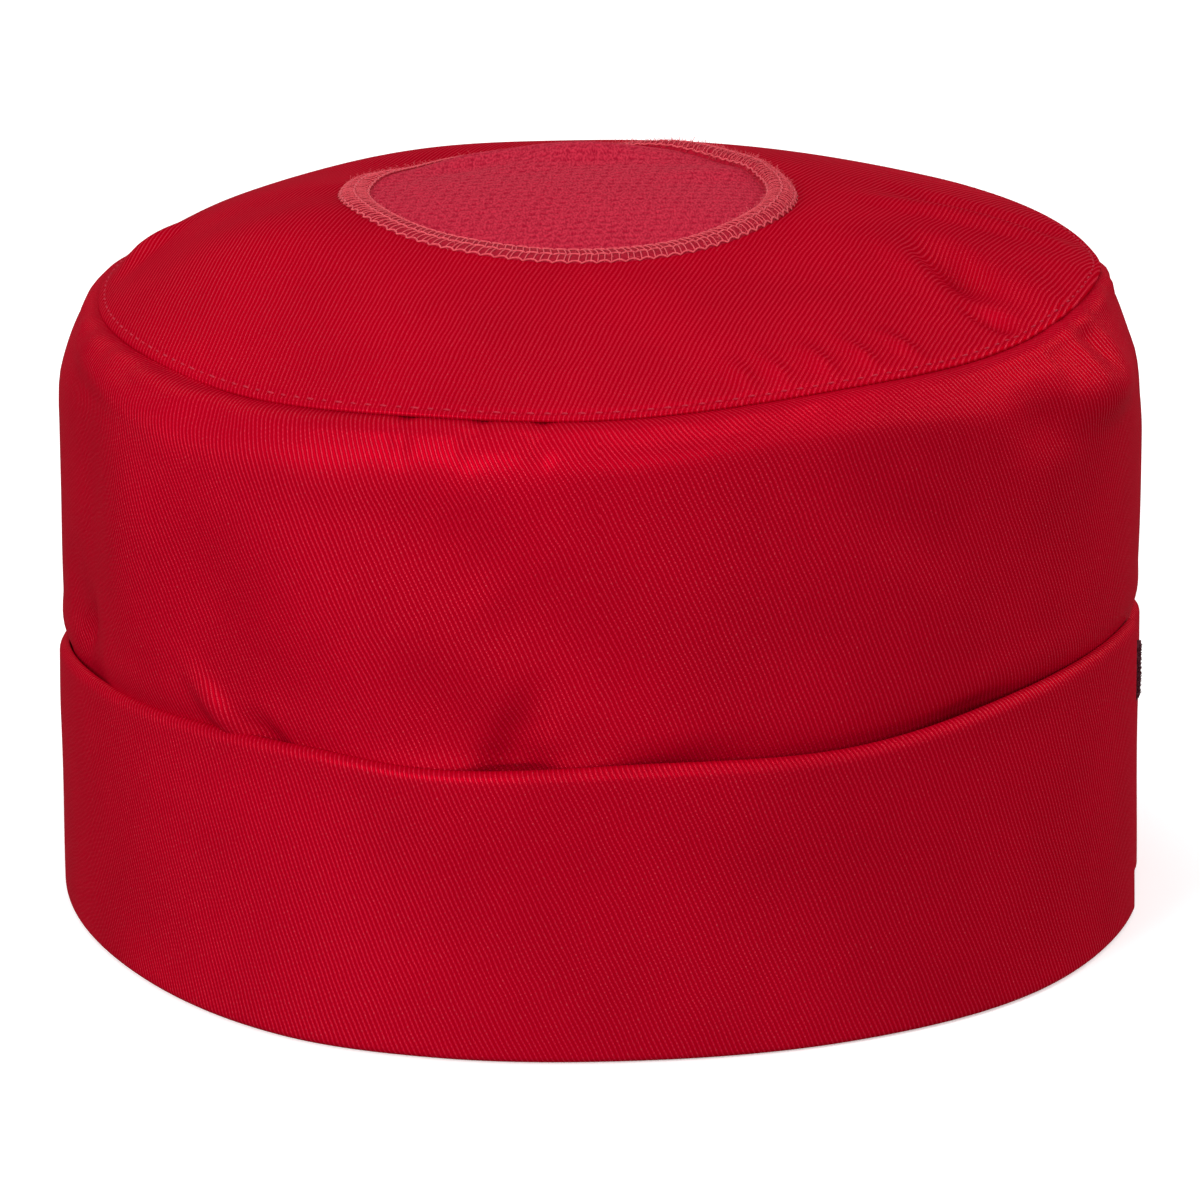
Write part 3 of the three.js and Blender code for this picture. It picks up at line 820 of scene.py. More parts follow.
@dataclass(frozen=True)
class Wall:
    """The tall tube of twill, with its rounded shoulder, its puckers and its dents."""

    form: HatForm
    columns: int = 480
    tuck: float = 3.0
    seam_rest: float = 0.08
    cuff_gap: float = 0.12
    foot: float = CUFF_TWILL + 1.75
    shoulder_rest: float = 0.8
    puff_middle: float = 3.4
    puff_half: float = 2.8
    pucker_count: int = 45
    pucker_depth: float = 0.45
    pucker_middle: float = 3.6
    pucker_half: float = 3.4
    # How the seam's pull comes and goes round the hat, and how the puckers stray: share, waves, start
    pull_even: float = 0.55
    pull_sway: tuple[float, float, float] = (0.45, 5, 1)
    stray: tuple[tuple[float, float, float], ...] = ((0.9, 3, 0), (0.7, 7, 2))
    inner_stride: int = 2
    cut: Cut = Cut(595, 118, Hold.GATHERED, ("cuff",))
    # The rounded shoulder, as tilts of its face above level, then shares of the way down to the cuff
    shoulder: tuple[float, ...] = (78, 66, 54, 42, 30, 18, 6)
    flank: tuple[float, ...] = (0.05, 0.15, 0.4, 0.8)
    # Where the wall goes in behind the cuff: height above its edge, share of the way in, slack behind it
    roll: tuple[tuple[float, float, float], ...] = ((2.2, 0.15, 0.0), (0, 0.9, 0.0), (-4.5, 1, 0.6))
    steps: tuple[int, ...] = (3, 4, 2, 2, 2, 2, 2, 2, 2, 3, 10, 18, 8, 6, 4, 8)
    dents: tuple[WallFold, ...] = (
        WallFold(-13, 56, 10, 17, 1.4, -0.4),
        WallFold(-70, 54, 8, 20, 1.4, -0.1),
        WallFold(-44, 103, 7, 5, 0.9, 0),
        WallFold(52, 98.5, 8, 9, 1.3, -0.3),
        WallFold(98, 100, 24, 18, 2.4, 0),
        WallFold(24, 70, 22, 26, 0.6, 0.2),
        WallFold(33, 74, 13, 26, -0.8, -0.25),
        WallFold(88, 74, 36, 30, -0.3, 0),
        WallFold(66, 99.5, 12, 9, -2.6, -0.2),
        WallFold(26, 50, 32, 12, 0.8, 0),
        WallFold(-12, 82, 12, 34, 1.6, -0.5),
        WallFold(-33, 80, 17, 38, -1.9, -0.5),
        WallFold(-55, 78, 13, 40, -2.6, 0),
        WallFold(-112, 98, 9, 16, 1.5, -0.3),
        WallFold(175, 74, 20, 24, 1.0, 0.2),
    )
    # Finer folds, at an azimuth and height: heading, half length, half width and rise
    creases: tuple[tuple[float, ...], ...] = (
        (-21, 103.5, 100, 6, 2.6, -0.6),
        (-13, 103.5, 80, 6, 2.6, -0.6),
        (-6, 104, 95, 5.5, 2.6, -0.6),
        (69, 106, -52, 8, 3, 0.6),
        (62, 106, -60, 8, 3, 0.5),
        (65.5, 106, -55, 8, 2.5, -0.7),
        (55, 105, -70, 7, 3, 0.4),
        (-67, 101, -4, 36, 4, 1.1),
        (-8.5, 54, 66, 17, 6, -1.6),
        (-9, 47.5, 0, 12, 8, -1.9),
        (-6.5, 48, 60, 9, 5, -1.3),
        (8, 49.2, 4, 18, 7, -1.6),
        (-42.5, 52.5, -43, 13, 4, 1.5),
        (-35.5, 49.5, -43, 8, 4, -1.3),
        (-70, 54, 54, 12, 4, -1.1),
        (41, 50.5, 12, 15, 7, -1.1),
        (31, 88, -37, 22, 9, -0.9),
        (-11, 78.6, 60, 8, 5, 0.4),
    )

    def smooth_face(self, azimuth: Array) -> tuple[Array, Array]:
        """Radius and height of the wall's outer face before anything dents it.

        Args:
            azimuth: Azimuth of each column.
        Returns:
            Radii and heights, rows by columns, from the tucked edge to the foot.
        """
        form = self.form
        inside = 1 - self.tuck / form.seam_reach(azimuth)
        lapped = form.top_point(azimuth, np.stack([inside, np.ones_like(azimuth)]))
        rows = lapped - face_normals(lapped, True) * (TOP_CLOTH + self.seam_rest)
        seam_radius = form.seam.at("radius", azimuth)
        top = form.seam.at("height", azimuth) - self.shoulder_rest
        fall = form.seam.at("shoulder", azimuth)
        bevel = form.seam.at("bevel", azimuth)
        edge = form.cuff.at("height", azimuth)
        radii = [np.hypot(row[:, 0], row[:, 1]) for row in rows]
        heights = [row[:, 2] for row in rows]
        for tilt in np.radians(self.shoulder):
            down = 1 - math.sin(tilt)
            radii.append(lerp(seam_radius, WALL_RADIUS, lerp(math.cos(tilt), down, bevel)))
            heights.append(top - fall * down)
        for share in self.flank:
            radii.append(azimuth * 0 + WALL_RADIUS)
            heights.append(lerp(top - fall, edge, share))
        held = form.cuff_radius(azimuth, np.array(0.0)) - CUFF_TWILL - self.cuff_gap
        held = held - form.cuff.at("gape", azimuth)
        for above, drawn, slack in self.roll:
            radii.append(lerp(WALL_RADIUS, held - slack, drawn))
            heights.append(edge + above)
        radii.append(azimuth * 0 + FITTED_RADIUS)
        heights.append(azimuth * 0 + self.foot)
        rows = smooth_rows(np.stack([np.array(radii), np.array(heights)], -1), self.steps)
        return rows[..., 0], rows[..., 1]

    def build(self) -> bpy.types.Object:
        """Make the wall's mesh.

        Returns:
            The wall, a closed tube of cloth.
        """
        form = self.form
        azimuth = np.arange(self.columns) * 360 / self.columns
        radius, height = self.smooth_face(azimuth)
        for dent in self.dents:
            radius = radius - dent.dent(azimuth, height)
        angle = np.radians(azimuth)
        sway, waves, start = self.pull_sway
        pull = self.pull_even + sway * np.sin(waves * angle + start)
        wander = sum(share * np.sin(count * angle + first) for share, count, first in self.stray)
        pucker = 0.5 - 0.5 * np.cos(angle * self.pucker_count + wander)
        radius = form.lapped_wall(azimuth, height, radius)
        face = polar(radius, azimuth, height)
        drop = np.linalg.norm(np.diff(face, axis=0, prepend=face[:1]), axis=-1).mean(1)
        depth = np.cumsum(drop)[:, None]
        from_seam = depth - depth[self.steps[0]]
        rise = form.seam.at("puff", azimuth) * swell(from_seam - self.puff_middle, self.puff_half)
        drawn = swell(from_seam - self.pucker_middle, self.pucker_half)
        rise = rise - self.pucker_depth * pull * pucker * drawn
        for crease_azimuth, crease_height, *shape in self.creases:
            along = np.radians(turn_between(crease_azimuth, azimuth)) * WALL_RADIUS
            rise = rise + Fold(0, 0, *shape).height(along, height - crease_height)
        face = face + face_normals(face, True) * rise[..., None]
        keep = np.arange(0, len(face), self.inner_stride)
        keep[-1] = len(face) - 1
        back = (face - face_normals(face, True) * TWILL)[keep]
        across = np.radians(np.append(azimuth, 360)) * WALL_RADIUS
        places = np.stack(np.meshgrid(across, -depth[:, 0]), -1)
        parts = MeshParts()
        both = np.concatenate([face, back[::-1]])
        parts.add_grid(both, np.concatenate([places, places[keep][::-1]]), True)
        return parts.build("twill_wall")

    def dress(self, twill: bpy.types.Material) -> None:
        """Build the wall in its cloth."""
        fit(self.build(), twill, "side_wall")


@dataclass(frozen=True)
class Top:
    """The ring of twill round the vent, its edge turned under, lapped over the wall and topstitched."""

    form: HatForm
    columns: int = 480
    rows: int = 54
    edge_rows: int = 12
    edge_zone: float = 3.6
    rim_steps: int = 6
    curl: float = 0.25
    curl_wide: float = 1.0
    stitch_inset: float = 1.1
    groove: float = 0.3
    groove_wide: float = 0.9
    stitch_pitch: float = 2.75
    stitch_length: float = 1.35
    stitch_radius: float = 0.17
    stitch_steps: int = 6
    stitch_sides: int = 6
    stitch_circle: float = 84.0
    stitch_bow: float = 0.6
    stitch_dip: float = 8.0
    stitch_taper: float = 0.45
    stitch_uneven: float = 0.3
    groove_beat: float = 0.25
    inner_stride: int = 3
    cut: Cut = Cut(178, 178, Hold.STRETCHED, ("side_wall",), 20400)

    def face(self, azimuth: Array, inset: Array) -> Array:
        """Points of the top's outer face, with the groove that the stitches pull.

        Args:
            azimuth: Degrees round the hat.
            inset: Millimetres in from the edge.
        Returns:
            The points.
        """
        point = self.form.top_point(azimuth, 1 - inset / self.form.seam_reach(azimuth))
        turns = np.radians(azimuth) * 2 * np.pi * self.stitch_circle / self.stitch_pitch
        beat = 1 - self.groove_beat + self.groove_beat * np.cos(turns)
        point[..., 2] -= self.groove * beat * swell(inset - self.stitch_inset, self.groove_wide)
        point[..., 2] -= self.curl * np.clip(1 - inset / self.curl_wide, 0, 1) ** 2
        return point

    def build(self) -> bpy.types.Object:
        """Make the top's mesh.

        Returns:
            The top, a closed ring of cloth with a rounded edge.
        """
        azimuth = np.arange(self.columns) * 360 / self.columns
        reach = self.form.seam_reach(azimuth)
        near = np.linspace(0, self.edge_zone, self.edge_rows, endpoint=False)[:, None] + 0 * azimuth
        far = lerp(self.edge_zone, reach, np.linspace(0, 1, self.rows)[:, None])
        inset = np.concatenate([near, far])[::-1]
        face = self.face(azimuth, inset)
        normal = face_normals(face, True)
        half = TOP_CLOTH / 2
        middle = face[-1] - normal[-1] * half
        outwards = unit(np.cross(np.roll(middle, -1, 0) - np.roll(middle, 1, 0), normal[-1]))
        turn = np.pi * np.arange(1, self.rim_steps) / self.rim_steps
        rim = [middle + half * (math.cos(t) * normal[-1] + math.sin(t) * outwards) for t in turn]
        keep = np.arange(0, len(face), self.inner_stride)
        keep[-1] = len(face) - 1
        back = (face - normal * TOP_CLOTH)[keep]
        loop = np.concatenate([face, rim, back[::-1]])
        places = np.concatenate([loop, loop[:, :1]], axis=1)[..., :2]
        parts = MeshParts()
        parts.add_grid(loop, places, True)
        return parts.build("twill_top")

    def build_stitches(self) -> bpy.types.Object:
        """Make the row of topstitches.

        Returns:
            The stitches, each a short thread that dips into the cloth at both ends.
        """
        girth = np.radians(1) * self.stitch_circle
        count = round(360 * girth / self.stitch_pitch)
        start = np.arange(count)[:, None] * 360 / count
        along = np.linspace(-0.5, 0.5, self.stitch_steps)
        uneven = 1 + self.stitch_uneven * np.sin(start * 1.7) * np.sin(start * 0.31)
        azimuth = start + along * self.stitch_length * uneven / girth
        path = self.face(azimuth, np.full_like(azimuth, self.stitch_inset))
        above = self.face(azimuth, np.full_like(azimuth, self.stitch_inset + 1))
        beside = self.face(azimuth + 0.2, np.full_like(azimuth, self.stitch_inset))
        normal = unit(np.cross(beside - path, above - path))
        bow = self.stitch_radius * (self.stitch_bow - self.stitch_dip * along ** 2)
        parts = MeshParts()
        thickness = self.stitch_radius * (1 - self.stitch_taper * (2 * along) ** 4)
        parts.add_tubes(path + normal * bow[:, None], thickness, self.stitch_sides, normal)
        return parts.build("top_stitching")

    def dress(self, twill: bpy.types.Material, thread: bpy.types.Material) -> None:
        """Build the top in its cloth and its stitches in their thread."""
        fit(self.build(), twill, "crown_top")
        fit(self.build_stitches(), thread)


@dataclass(frozen=True)
class Vent:
    """The disc of open knit in the top, and the serged seam that joins it to the twill."""

    form: HatForm
    wale_cells: int = 6
    course_cells: int = 7
    dimple: float = 0.22
    dimple_wide: float = 0.62
    dimple_deep: float = 0.36
    band_half: float = 2.6
    band_rows: int = 13
    columns: int = 480
    stitches: int = 100
    stitch_steps: int = 8
    thread: float = 0.15
    loop_out: float = 0.28
    lines: tuple[float, ...] = (-2.3, 0.1, 2.4)
    fuzz_count: int = 6800
    fuzz_radius: float = 0.03
    fuzz_length: tuple[float, float] = (0.3, 0.8)
    # A fibre stays where a chance in this range lies under the ridge's rise
    fuzz_chance: tuple[float, float] = (0.4, 1.9)
    fuzz_curl: float = 0.7
    fuzz_stand: float = 0.6
    fuzz_lift: float = 0.1
    ground_sink: float = 0.3
    thread_sides: int = 6
    thread_wave: float = 0.12
    thread_dip: float = 1.7
    rung_steps: int = 7
    rung_slant: float = 0.2
    rung_thin: float = 0.7
    rung_bow: float = 0.12
    cut: Cut = Cut(76, 76, Hold.STRETCHED, ("vent_seam",), 4540)
    ridge: RoundTable = RoundTable(("azimuth", "rise"), (
        (-180, 0.9), (-135, 0.7), (-90, 0.9), (-45, 0.5), (0, 0.45), (45, 0.8), (80, 1.6), (135, 1.8)))

    def build_knit(self, rng: np.random.Generator) -> bpy.types.Object:
        """Make the knit, on a grid that follows its rows.

        Args:
            rng: Seeded source of chance.
        Returns:
            The disc of knit, with an uneven hollow at each repeat of its pattern.
        """
        form = self.form
        reach = int(form.vent_radius / min(WALE[0], abs(COURSE[1])) + 4)
        a = np.arange(-reach * self.wale_cells, reach * self.wale_cells + 1)
        b = np.arange(-reach * self.course_cells, reach * self.course_cells + 1)
        a, b = np.meshgrid(a, b, indexing="ij")
        across = a / self.wale_cells
        down = b / self.course_cells
        x = across * WALE[0] + down * COURSE[0]
        y = across * WALE[1] + down * COURSE[1]
        cell = (np.floor(across).astype(int) + reach, np.floor(down).astype(int) + reach)
        depth, shift, slip = rng.uniform(0.0, 1.0, (3, 2 * reach + 1, 2 * reach + 1))[:, cell[0], cell[1]]
        side = (np.mod(across, 1) - 0.4 - 0.2 * shift) * np.hypot(*WALE)
        back = (np.mod(down, 1) - 0.4 - 0.2 * slip) * np.hypot(*COURSE)
        hollow = np.exp(-((side / self.dimple_wide) ** 2 + (back / self.dimple_deep) ** 2) ** 1.3)
        plan = np.stack([x, y], -1) + form.vent_middle
        height = form.knit_height(plan[..., 0], plan[..., 1])
        pressed = height - self.dimple * (0.5 + 0.7 * depth) * hollow
        near = np.hypot(x, y) < form.vent_radius - GAP / 2
        kept = near[:-1, :-1] & near[1:, :-1] & near[1:, 1:] & near[:-1, 1:]
        number = np.arange(x.size).reshape(x.shape)
        corner = [number[:-1, :-1], number[:-1, 1:], number[1:, 1:], number[1:, :-1]]
        faces = [np.stack(corner, -1)[kept], np.stack(corner[::-1], -1)[kept] + x.size]
        padded = np.pad(kept, 1)
        beside = [padded[:-2, 1:-1], padded[1:-1, 2:], padded[2:, 1:-1], padded[1:-1, :-2]]
        for k, neighbour in enumerate(beside):
            open_side = kept & ~neighbour
            start = corner[k][open_side]
            end = corner[(k + 1) % 4][open_side]
            faces.append(np.stack([end, start, start + x.size, end + x.size], -1))
        used, quads = np.unique(np.concatenate(faces), return_inverse=True)
        upper = np.concatenate([plan, pressed[..., None]], -1).reshape(-1, 3)
        lower = np.concatenate([plan, (height - KNIT)[..., None]], -1).reshape(-1, 3)
        points = np.concatenate([upper, lower])[used]
        quads = quads.reshape(-1, 4)
        parts = MeshParts()
        parts.add(points, quads, points[quads][..., :2] - form.vent_middle)
        return parts.build("knit_vent")

    def band_point(self, azimuth: Array, offset: Array, lift: Array) -> Array:
        """Points over the joint of knit and twill.

        Args:
            azimuth: Degrees round the vent.
            offset: Millimetres out from the vent's edge.
            lift: Millimetres above the cloth.
        Returns:
            The points.
        """
        form = self.form
        azimuth, offset = np.broadcast_arrays(azimuth, offset)
        point = polar(form.vent_radius + offset, azimuth, 0.0)
        point[..., :2] += form.vent_middle
        knit = form.knit_height(point[..., 0], point[..., 1])
        top = form.top_point(azimuth, np.maximum(offset - LAID_GAP, 0) / form.seam_reach(azimuth))[..., 2]
        point[..., 2] = np.where(offset < 0, knit, top) + lift
        return point

    def puff(self, azimuth: Array, offset: Array) -> Array:
        """Height of the seam's rounded back above the cloth, at an offset from its middle."""
        return self.ridge.at("rise", azimuth) * np.clip(1 - (offset / self.band_half) ** 2, 0, 1) ** 0.6

    def build_ground(self) -> bpy.types.Object:
        """Make the rounded band of gathered edges that the threads cross.

        Returns:
            The band.
        """
        azimuth = np.arange(self.columns) * 360 / self.columns
        offset = np.linspace(-self.band_half, self.band_half, self.band_rows)[:, None]
        face = self.band_point(azimuth, offset, self.puff(azimuth, offset))
        back = self.band_point(azimuth, offset, -self.ground_sink + 0 * offset)
        across = np.radians(np.append(azimuth, 360)) * self.form.vent_radius
        parts = MeshParts()
        parts.add_band(face, back, np.stack(np.meshgrid(across, offset[:, 0]), -1), True)
        return parts.build("serged_edges")

    def build_threads(self, rng: np.random.Generator) -> bpy.types.Object:
        """Make the serging threads.

        Args:
            rng: Seeded source of chance.
        Returns:
            Three lines of chained thread round the vent, the outer one with small loops, and the rungs
            between them.
        """
        parts = MeshParts()
        up = np.array([0.0, 0.0, 1.0])
        pitch = 360 / self.stitches
        steps = np.arange(self.stitches * self.stitch_steps) / self.stitch_steps
        beat = np.maximum(np.cos(2 * np.pi * steps), 0)
        for middle, out in zip(self.lines, (0.0, 0.0, self.loop_out)):
            line = middle + self.thread_wave * np.sin(2 * np.pi * steps + 1) + out * beat ** 4
            dip = 0.0 if out else self.thread_dip * beat ** 6
            lift = self.puff(steps * pitch, line) + self.thread * (0.9 - dip)
            path = self.band_point(steps * pitch, line, lift)[None]
            parts.add_tubes(path, self.thread, self.thread_sides, up, ring=True)
        share = np.linspace(0, 1, self.rung_steps)
        rungs = self.stitches * 2
        rung = np.arange(rungs)[:, None] / 2 + rng.uniform(-0.12, 0.12, (rungs, 1))
        for low, high, slant in ((0, 1, self.rung_slant), (1, 2, -self.rung_slant)):
            line = lerp(self.lines[low], self.lines[high], share)
            azimuth = (rung + 0.25 + slant * (share - 0.5)) * pitch
            lift = self.puff(azimuth, line) + self.rung_bow * np.sin(np.pi * share)
            path = self.band_point(azimuth, line, lift)
            parts.add_tubes(path, self.thread * self.rung_thin, self.thread_sides, up)
        return parts.build("serging_threads")

    def build_fuzz(self, rng: np.random.Generator) -> bpy.types.Object:
        """Make the loose fibres that stand up from the serging thread.

        Args:
            rng: Seeded source of chance.
        Returns:
            The fibres, as thin bent threads, most where the seam stands up most.
        """
        azimuth = rng.uniform(0, 360, self.fuzz_count)
        stays = rng.uniform(*self.fuzz_chance, self.fuzz_count) < self.ridge.at("rise", azimuth)
        azimuth = azimuth[stays][:, None]
        count = len(azimuth)
        offset = rng.uniform(-self.band_half, self.band_half, (count, 1))
        root = self.band_point(azimuth, offset, self.puff(azimuth, offset) + self.fuzz_lift)
        lean = unit(rng.normal(size=(count, 1, 3)) + np.array([0, 0, self.fuzz_stand]))
        curl = unit(rng.normal(size=(count, 1, 3)))
        length = rng.uniform(*self.fuzz_length, (count, 1, 1))
        share = np.linspace(0, 1, 4)[:, None]
        parts = MeshParts()
        path = root + length * (lean * share + self.fuzz_curl * curl * share ** 2)
        parts.add_tubes(path, self.fuzz_radius, 4, np.cross(lean, curl))
        return parts.build("serging_fuzz")

    def dress(self, knit: bpy.types.Material, edges: bpy.types.Material, thread: bpy.types.Material,
              rng: np.random.Generator) -> None:
        """Build the knit, its seam and the seam's fuzz in their yarns.

        Args:
            knit: Finish of the disc.
            edges: Finish of the gathered edges under the threads.
            thread: Finish of the serging threads.
            rng: Seeded source of chance.
        """
        fit(self.build_knit(rng), knit, "mesh_vent")
        fit(self.build_ground(), edges, "vent_seam")
        fit(self.build_threads(rng), thread)
        fit(self.build_fuzz(rng), thread)


@dataclass(frozen=True)
class Cuff:
    """The doubled band turned up round the foot, and the loop tape in its lap."""

    form: HatForm
    columns: int = 560
    rows: int = 34
    edge_steps: int = 9
    fold_radius: float = 1.2
    fold_steps: int = 8
    lip: float = 7.0
    lip_rows: int = 4
    edge_thin: float = 0.06
    edge_roll: float = 2.0
    tape_start: float = 62.6
    tape_end: float = 85.6
    tape_low: float = 34.6
    tape_high: float = 44.6
    tape_columns: int = 60
    tape_rows: int = 26
    loop_height: float = 0.3
    loop_count: int = 420
    loop_reach: float = 0.35
    loop_radius: float = 0.07
    loop_sink: float = 0.05
    loop_margin: float = 0.3
    tape_sink: float = 0.1
    cuff_circle: float = 95.0
    tape_circle: float = 92.0
    cut: Cut = Cut(635, 62, Hold.FOLDED, ("side_wall",))
    tape_cut: Cut = Cut(37, 10, Hold.LAID, ("cuff",))

    def turns(self) -> Array:
        """Azimuths of the columns, close together at the two rounded ends."""
        start = self.form.lap_end - self.form.lap_length
        whole = 360 + self.form.lap_length
        end = np.degrees(CUFF_TWILL / self.cuff_circle)
        bend = 1 - np.cos(np.linspace(0, np.pi / 2, self.edge_steps))[:-1]
        first = end * bend
        body = np.linspace(end, whole - end, self.columns)
        return start + np.concatenate([first, body, (whole - first)[::-1]])

    def outer_face(self, turn: Array) -> tuple[Array, Array]:
        """The cuff's outer face, from its top edge down round its foot to the lip inside.

        Args:
            turn: Azimuth of each column.
        Returns:
            The points, and each row's distance from the top edge.
        """
        form = self.form
        under = form.lap_depth(turn)
        foot = under * (CUFF_TWILL + GAP)
        edge = form.cuff.at("height", turn) - under * form.lap_hem
        sink = under * form.lap_sink
        tall = edge - foot - self.fold_radius
        bend = self.edge_roll * (1 - np.cos(np.linspace(0, np.pi / 2, self.edge_steps)))
        rolled = bend / tall.mean()
        share = np.concatenate([rolled[:-1], np.linspace(rolled[-1], 1, self.rows)])[:, None]
        face = polar(form.cuff_radius(turn, share) - sink, turn, edge - tall * share)
        angle = np.linspace(0, np.pi / 2, self.fold_steps + 1)[1:]
        inwards = self.fold_radius * (1 - np.cos(angle))
        rise = self.fold_radius * (1 - np.sin(angle))
        level = np.linspace(self.fold_radius, self.lip, self.lip_rows + 1)[1:]
        inwards = np.concatenate([inwards, level])
        rise = np.concatenate([rise, np.zeros(self.lip_rows)])[:, None]
        straight = self.fold_radius * (1 - np.linspace(0, 1, len(inwards) + 1)[1:, None])
        outside = form.cuff_radius(turn, np.array(1.0)) - sink
        turned = polar(outside - inwards[:, None] * (1 - under), turn, foot + lerp(rise, straight, under))
        face = np.concatenate([face, turned])
        drop = np.linalg.norm(np.diff(face, axis=0, prepend=face[:1]), axis=-1).mean(1)
        return face, np.cumsum(drop)

    def build(self) -> bpy.types.Object:
        """Make the cuff's mesh.

        Returns:
            The cuff, a closed band with a rounded fold at its top edge and rounded ends.
        """
        turn = self.turns()
        face, down = self.outer_face(turn)
        normal = face_normals(face, False)
        back = face - normal * CUFF_TWILL
        along = np.radians(turn - turn[0]) * self.cuff_circle
        from_end = np.minimum(along, along[-1] - along)
        from_edge = np.minimum(down, down[-1] - down + self.edge_roll / 2)[:, None]
        inset = np.clip(np.minimum(from_end / CUFF_TWILL, from_edge / self.edge_roll), 0, 1)
        thick = np.maximum(CUFF_TWILL * np.sqrt(1 - (1 - inset) ** 2), self.edge_thin)[..., None]
        places = np.stack(np.meshgrid(along, -down), -1)
        parts = MeshParts()
        parts.add_band(back + normal * thick, back, places, False)
        return parts.build("twill_cuff")

    def tape_point(self, turn: Array, height: Array, lift: Array) -> Array:
        """Points over the lapped end of the cuff, where the tape is sewn."""
        form = self.form
        under = form.lap_depth(turn)
        edge = form.cuff.at("height", turn) - under * form.lap_hem
        tall = edge - self.fold_radius - under * (CUFF_TWILL + GAP)
        radius = form.cuff_radius(turn, (edge - height) / tall) - under * form.lap_sink
        return polar(radius + lift, turn, height)

    def build_tape(self, rng: np.random.Generator) -> bpy.types.Object:
        """Make the loop tape.

        Args:
            rng: Seeded source of chance.
        Returns:
            A thin strip with a field of small loops where it shows.
        """
        turn = np.linspace(self.tape_start, self.tape_end, self.tape_columns)
        height = np.linspace(self.tape_high, self.tape_low, self.tape_rows)[:, None]
        face = self.tape_point(turn, height, LAID_GAP + TAPE / 2 + 0 * height)
        back = self.tape_point(turn, height, self.tape_sink + 0 * height)
        across = np.radians(turn - turn[0]) * self.tape_circle
        places = np.stack(np.meshgrid(across, height[:, 0]), -1)
        parts = MeshParts()
        parts.add_band(face, back, places, False)
        margin = self.loop_margin
        at_turn = rng.uniform(self.form.lap_end - 1, self.tape_end - margin, self.loop_count)[:, None]
        at_height = rng.uniform(self.tape_low + margin, self.tape_high - margin, self.loop_count)[:, None]
        share = np.linspace(-1, 1, 6)
        spin = rng.uniform(0, np.pi, self.loop_count)[:, None]
        reach = self.loop_reach * share
        tall = LAID_GAP + TAPE / 2 + self.loop_height * (1 - share ** 2) - self.loop_sink
        path = self.tape_point(at_turn + np.degrees(reach * np.cos(spin) / self.tape_circle),
                               at_height + reach * np.sin(spin), tall)
        parts.add_tubes(path, self.loop_radius, 4, np.array([0.3, 0.2, 1.0]))
        return parts.build("loop_tape")

    def dress(self, twill: bpy.types.Material, tape: bpy.types.Material, rng: np.random.Generator) -> None:
        """Build the cuff in its cloth and the tape in its loops."""
        fit(self.build(), twill, "cuff")
        fit(self.build_tape(rng), tape, "closure_tape")


@dataclass(frozen=True)
class Softbox:
    """Square of soft light that faces the hat: where it hangs, its side and its power in watts."""

    name: str
    azimuth: float
    elevation: float
    distance: float
    side: float
    power: float


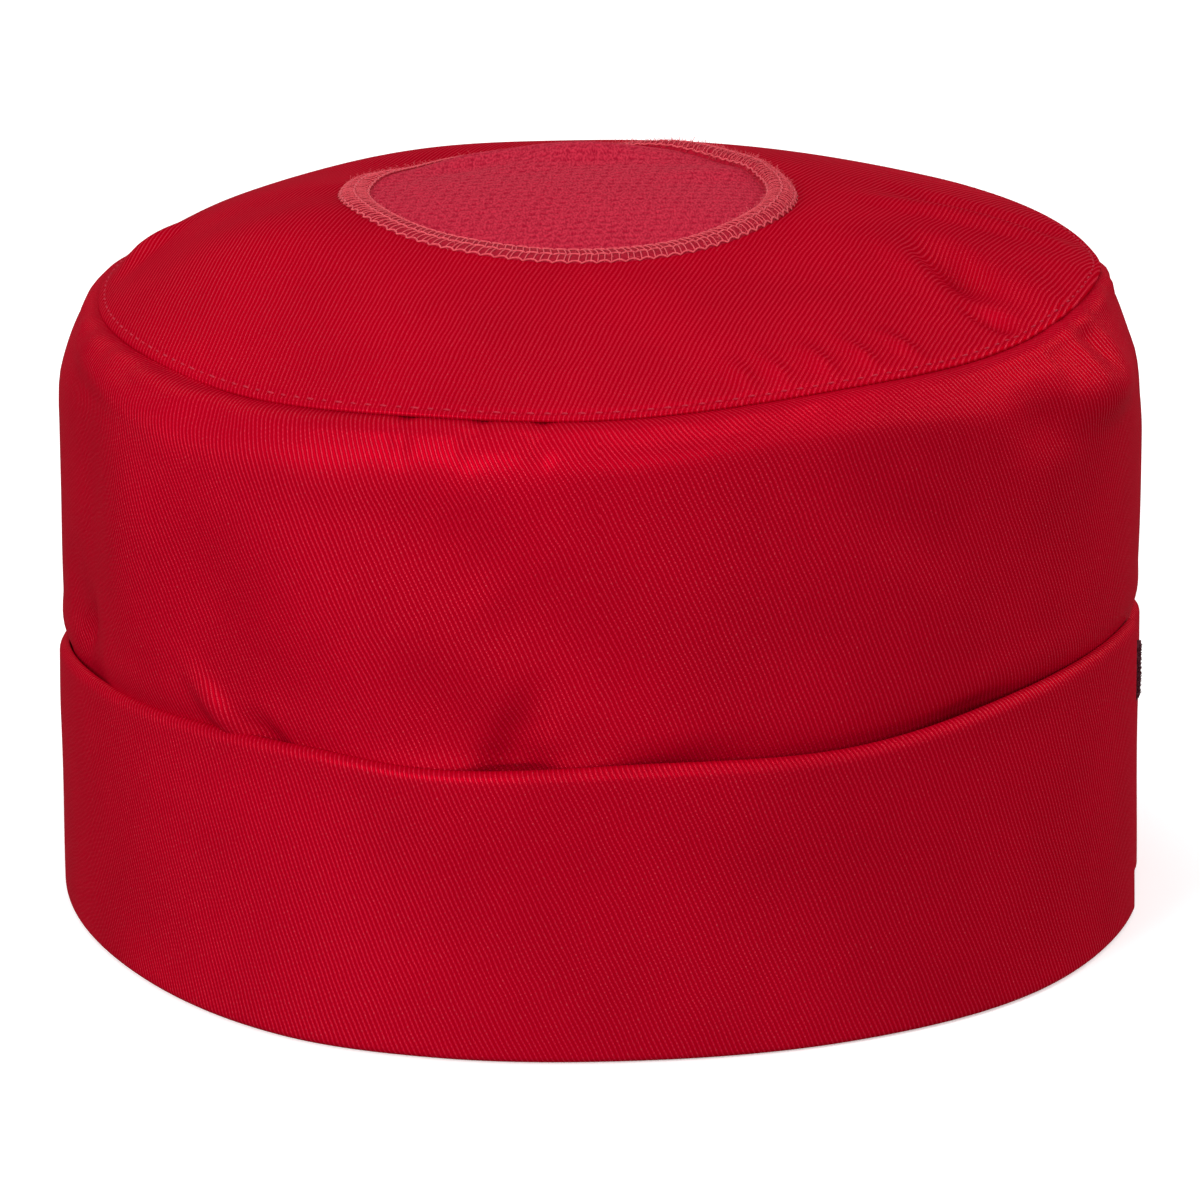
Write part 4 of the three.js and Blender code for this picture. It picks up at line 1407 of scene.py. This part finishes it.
@dataclass(frozen=True)
class Studio:
    """Plain floor, soft light and the camera at the photograph's angle."""

    elevation: float = 17.6
    distance: float = 1200.0
    aim_height: float = 49.6
    focal_px: float = 6876.0
    frame_px: float = 1200.0
    sensor: float = 36.0
    floor_half: float = 4000.0
    floor_drop: float = 0.1
    sky: float = 0.3
    softboxes: tuple[Softbox, ...] = (
        Softbox("front_left_softbox", -42, 28, 1700, 900, 19.5),
        Softbox("low_front_softbox", 10, 12, 1700, 900, 9.5),
        Softbox("right_softbox", 90, 15, 1700, 900, 4.4),
        Softbox("back_right_softbox", 118, 30, 1700, 900, 9.6),
        Softbox("back_left_softbox", -145, 36, 1700, 900, 3.4),
        Softbox("overhead_softbox", 0, 88, 1700, 900, 6.0),
    )

    def direction(self, azimuth: float, elevation: float) -> Vector:
        """Unit vector towards an azimuth and elevation."""
        level = math.cos(math.radians(elevation))
        turn = math.radians(azimuth)
        return Vector((level * math.sin(turn), -level * math.cos(turn), math.sin(math.radians(elevation))))

    def place(self, data: bpy.types.ID, name: str, towards: Vector, distance: float) -> bpy.types.Object:
        """Put a lamp or a camera where it looks at the hat.

        Args:
            data: The lamp's or camera's data.
            name: The object's name.
            towards: Direction from the hat to it.
            distance: Its distance in millimetres.
        Returns:
            The object.
        """
        thing = bpy.data.objects.new(name, data)
        aim = Vector((0, 0, self.aim_height * MM))
        thing.location = aim + towards * distance * MM
        thing.rotation_euler = towards.to_track_quat("Z", "Y").to_euler()
        bpy.context.scene.collection.objects.link(thing)
        return thing

    def build(self, floor_finish: bpy.types.Material) -> None:
        """Set up the floor, the light and the camera.

        Args:
            floor_finish: The floor's material.
        """
        scene = bpy.context.scene
        camera = bpy.data.cameras.new("photo_camera")
        camera.sensor_width = self.sensor
        camera.lens = self.sensor * self.focal_px / self.frame_px
        scene.camera = self.place(camera, "photo_camera", self.direction(0, self.elevation), self.distance)
        for box in self.softboxes:
            lamp = bpy.data.lights.new(box.name, "AREA")
            lamp.size = box.side * MM
            lamp.energy = box.power
            self.place(lamp, box.name, self.direction(box.azimuth, box.elevation), box.distance)
        world = bpy.data.worlds.new("white_studio")
        world.use_nodes = True
        backdrop = world.node_tree.nodes["Background"]
        backdrop.inputs["Color"].default_value = linear("#ffffff")
        backdrop.inputs["Strength"].default_value = self.sky
        scene.world = world
        scene.view_settings.view_transform = "Standard"
        half = self.floor_half * MM
        plan = ((-half, -half), (half, -half), (half, half), (-half, half))
        corners = [(x, y, -self.floor_drop * MM) for x, y in plan]
        mesh = bpy.data.meshes.new("studio_floor")
        mesh.from_pydata(corners, [], [(0, 1, 2, 3)])
        mesh.materials.append(floor_finish)
        floor = bpy.data.objects.new("studio_floor", mesh)
        scene.collection.objects.link(floor)
        # The photograph's ground is cut out, so the floor's white throws no light up the hat
        floor.visible_diffuse = False
        floor.visible_glossy = False


def main() -> None:
    """Build the hat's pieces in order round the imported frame."""
    logging.basicConfig(level=logging.INFO, format="%(name)s %(message)s")
    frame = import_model()
    log.info("frame: %s", ", ".join(sorted(frame["nodes"])))
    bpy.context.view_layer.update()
    rng = np.random.default_rng(SEED)
    form = HatForm()
    wall_twill = WovenTwill("cotton_twill_woven_falling", Grain.FALLING).build()
    top_twill = WovenTwill("cotton_twill_woven_rising", Grain.RISING, lean=17.0, haze=0.2).build()
    knit = OpenKnit("polyester_knit_open").build()
    edges = FuzzyYarn("polyester_edge_overlocked", "#a8102a", "#8e0620", nap=0.04).build()
    thread = FuzzyYarn("polyester_thread_spun", "#e25a64", "#c83e4d", nap=0.25).build()
    stitching = FuzzyYarn("polyester_thread_twisted", "#c83a4a", "#a00e2a", twist=1.1, nap=0.05).build()
    # The tape's dark maroon is matched to the shaded gap in the lap: its own colour darkened with painted
    # shade
    tape = FuzzyYarn("nylon_loop_tape_brushed", "#5a0e20", "#380814", nap=0.04).build()
    Studio().build(PaintedFloor().build())
    Wall(form).dress(wall_twill)
    Top(form).dress(top_twill, stitching)
    Vent(form).dress(knit, edges, thread, rng)
    Cuff(form).dress(wall_twill, tape, rng)


if __name__ == "__main__":
    main()
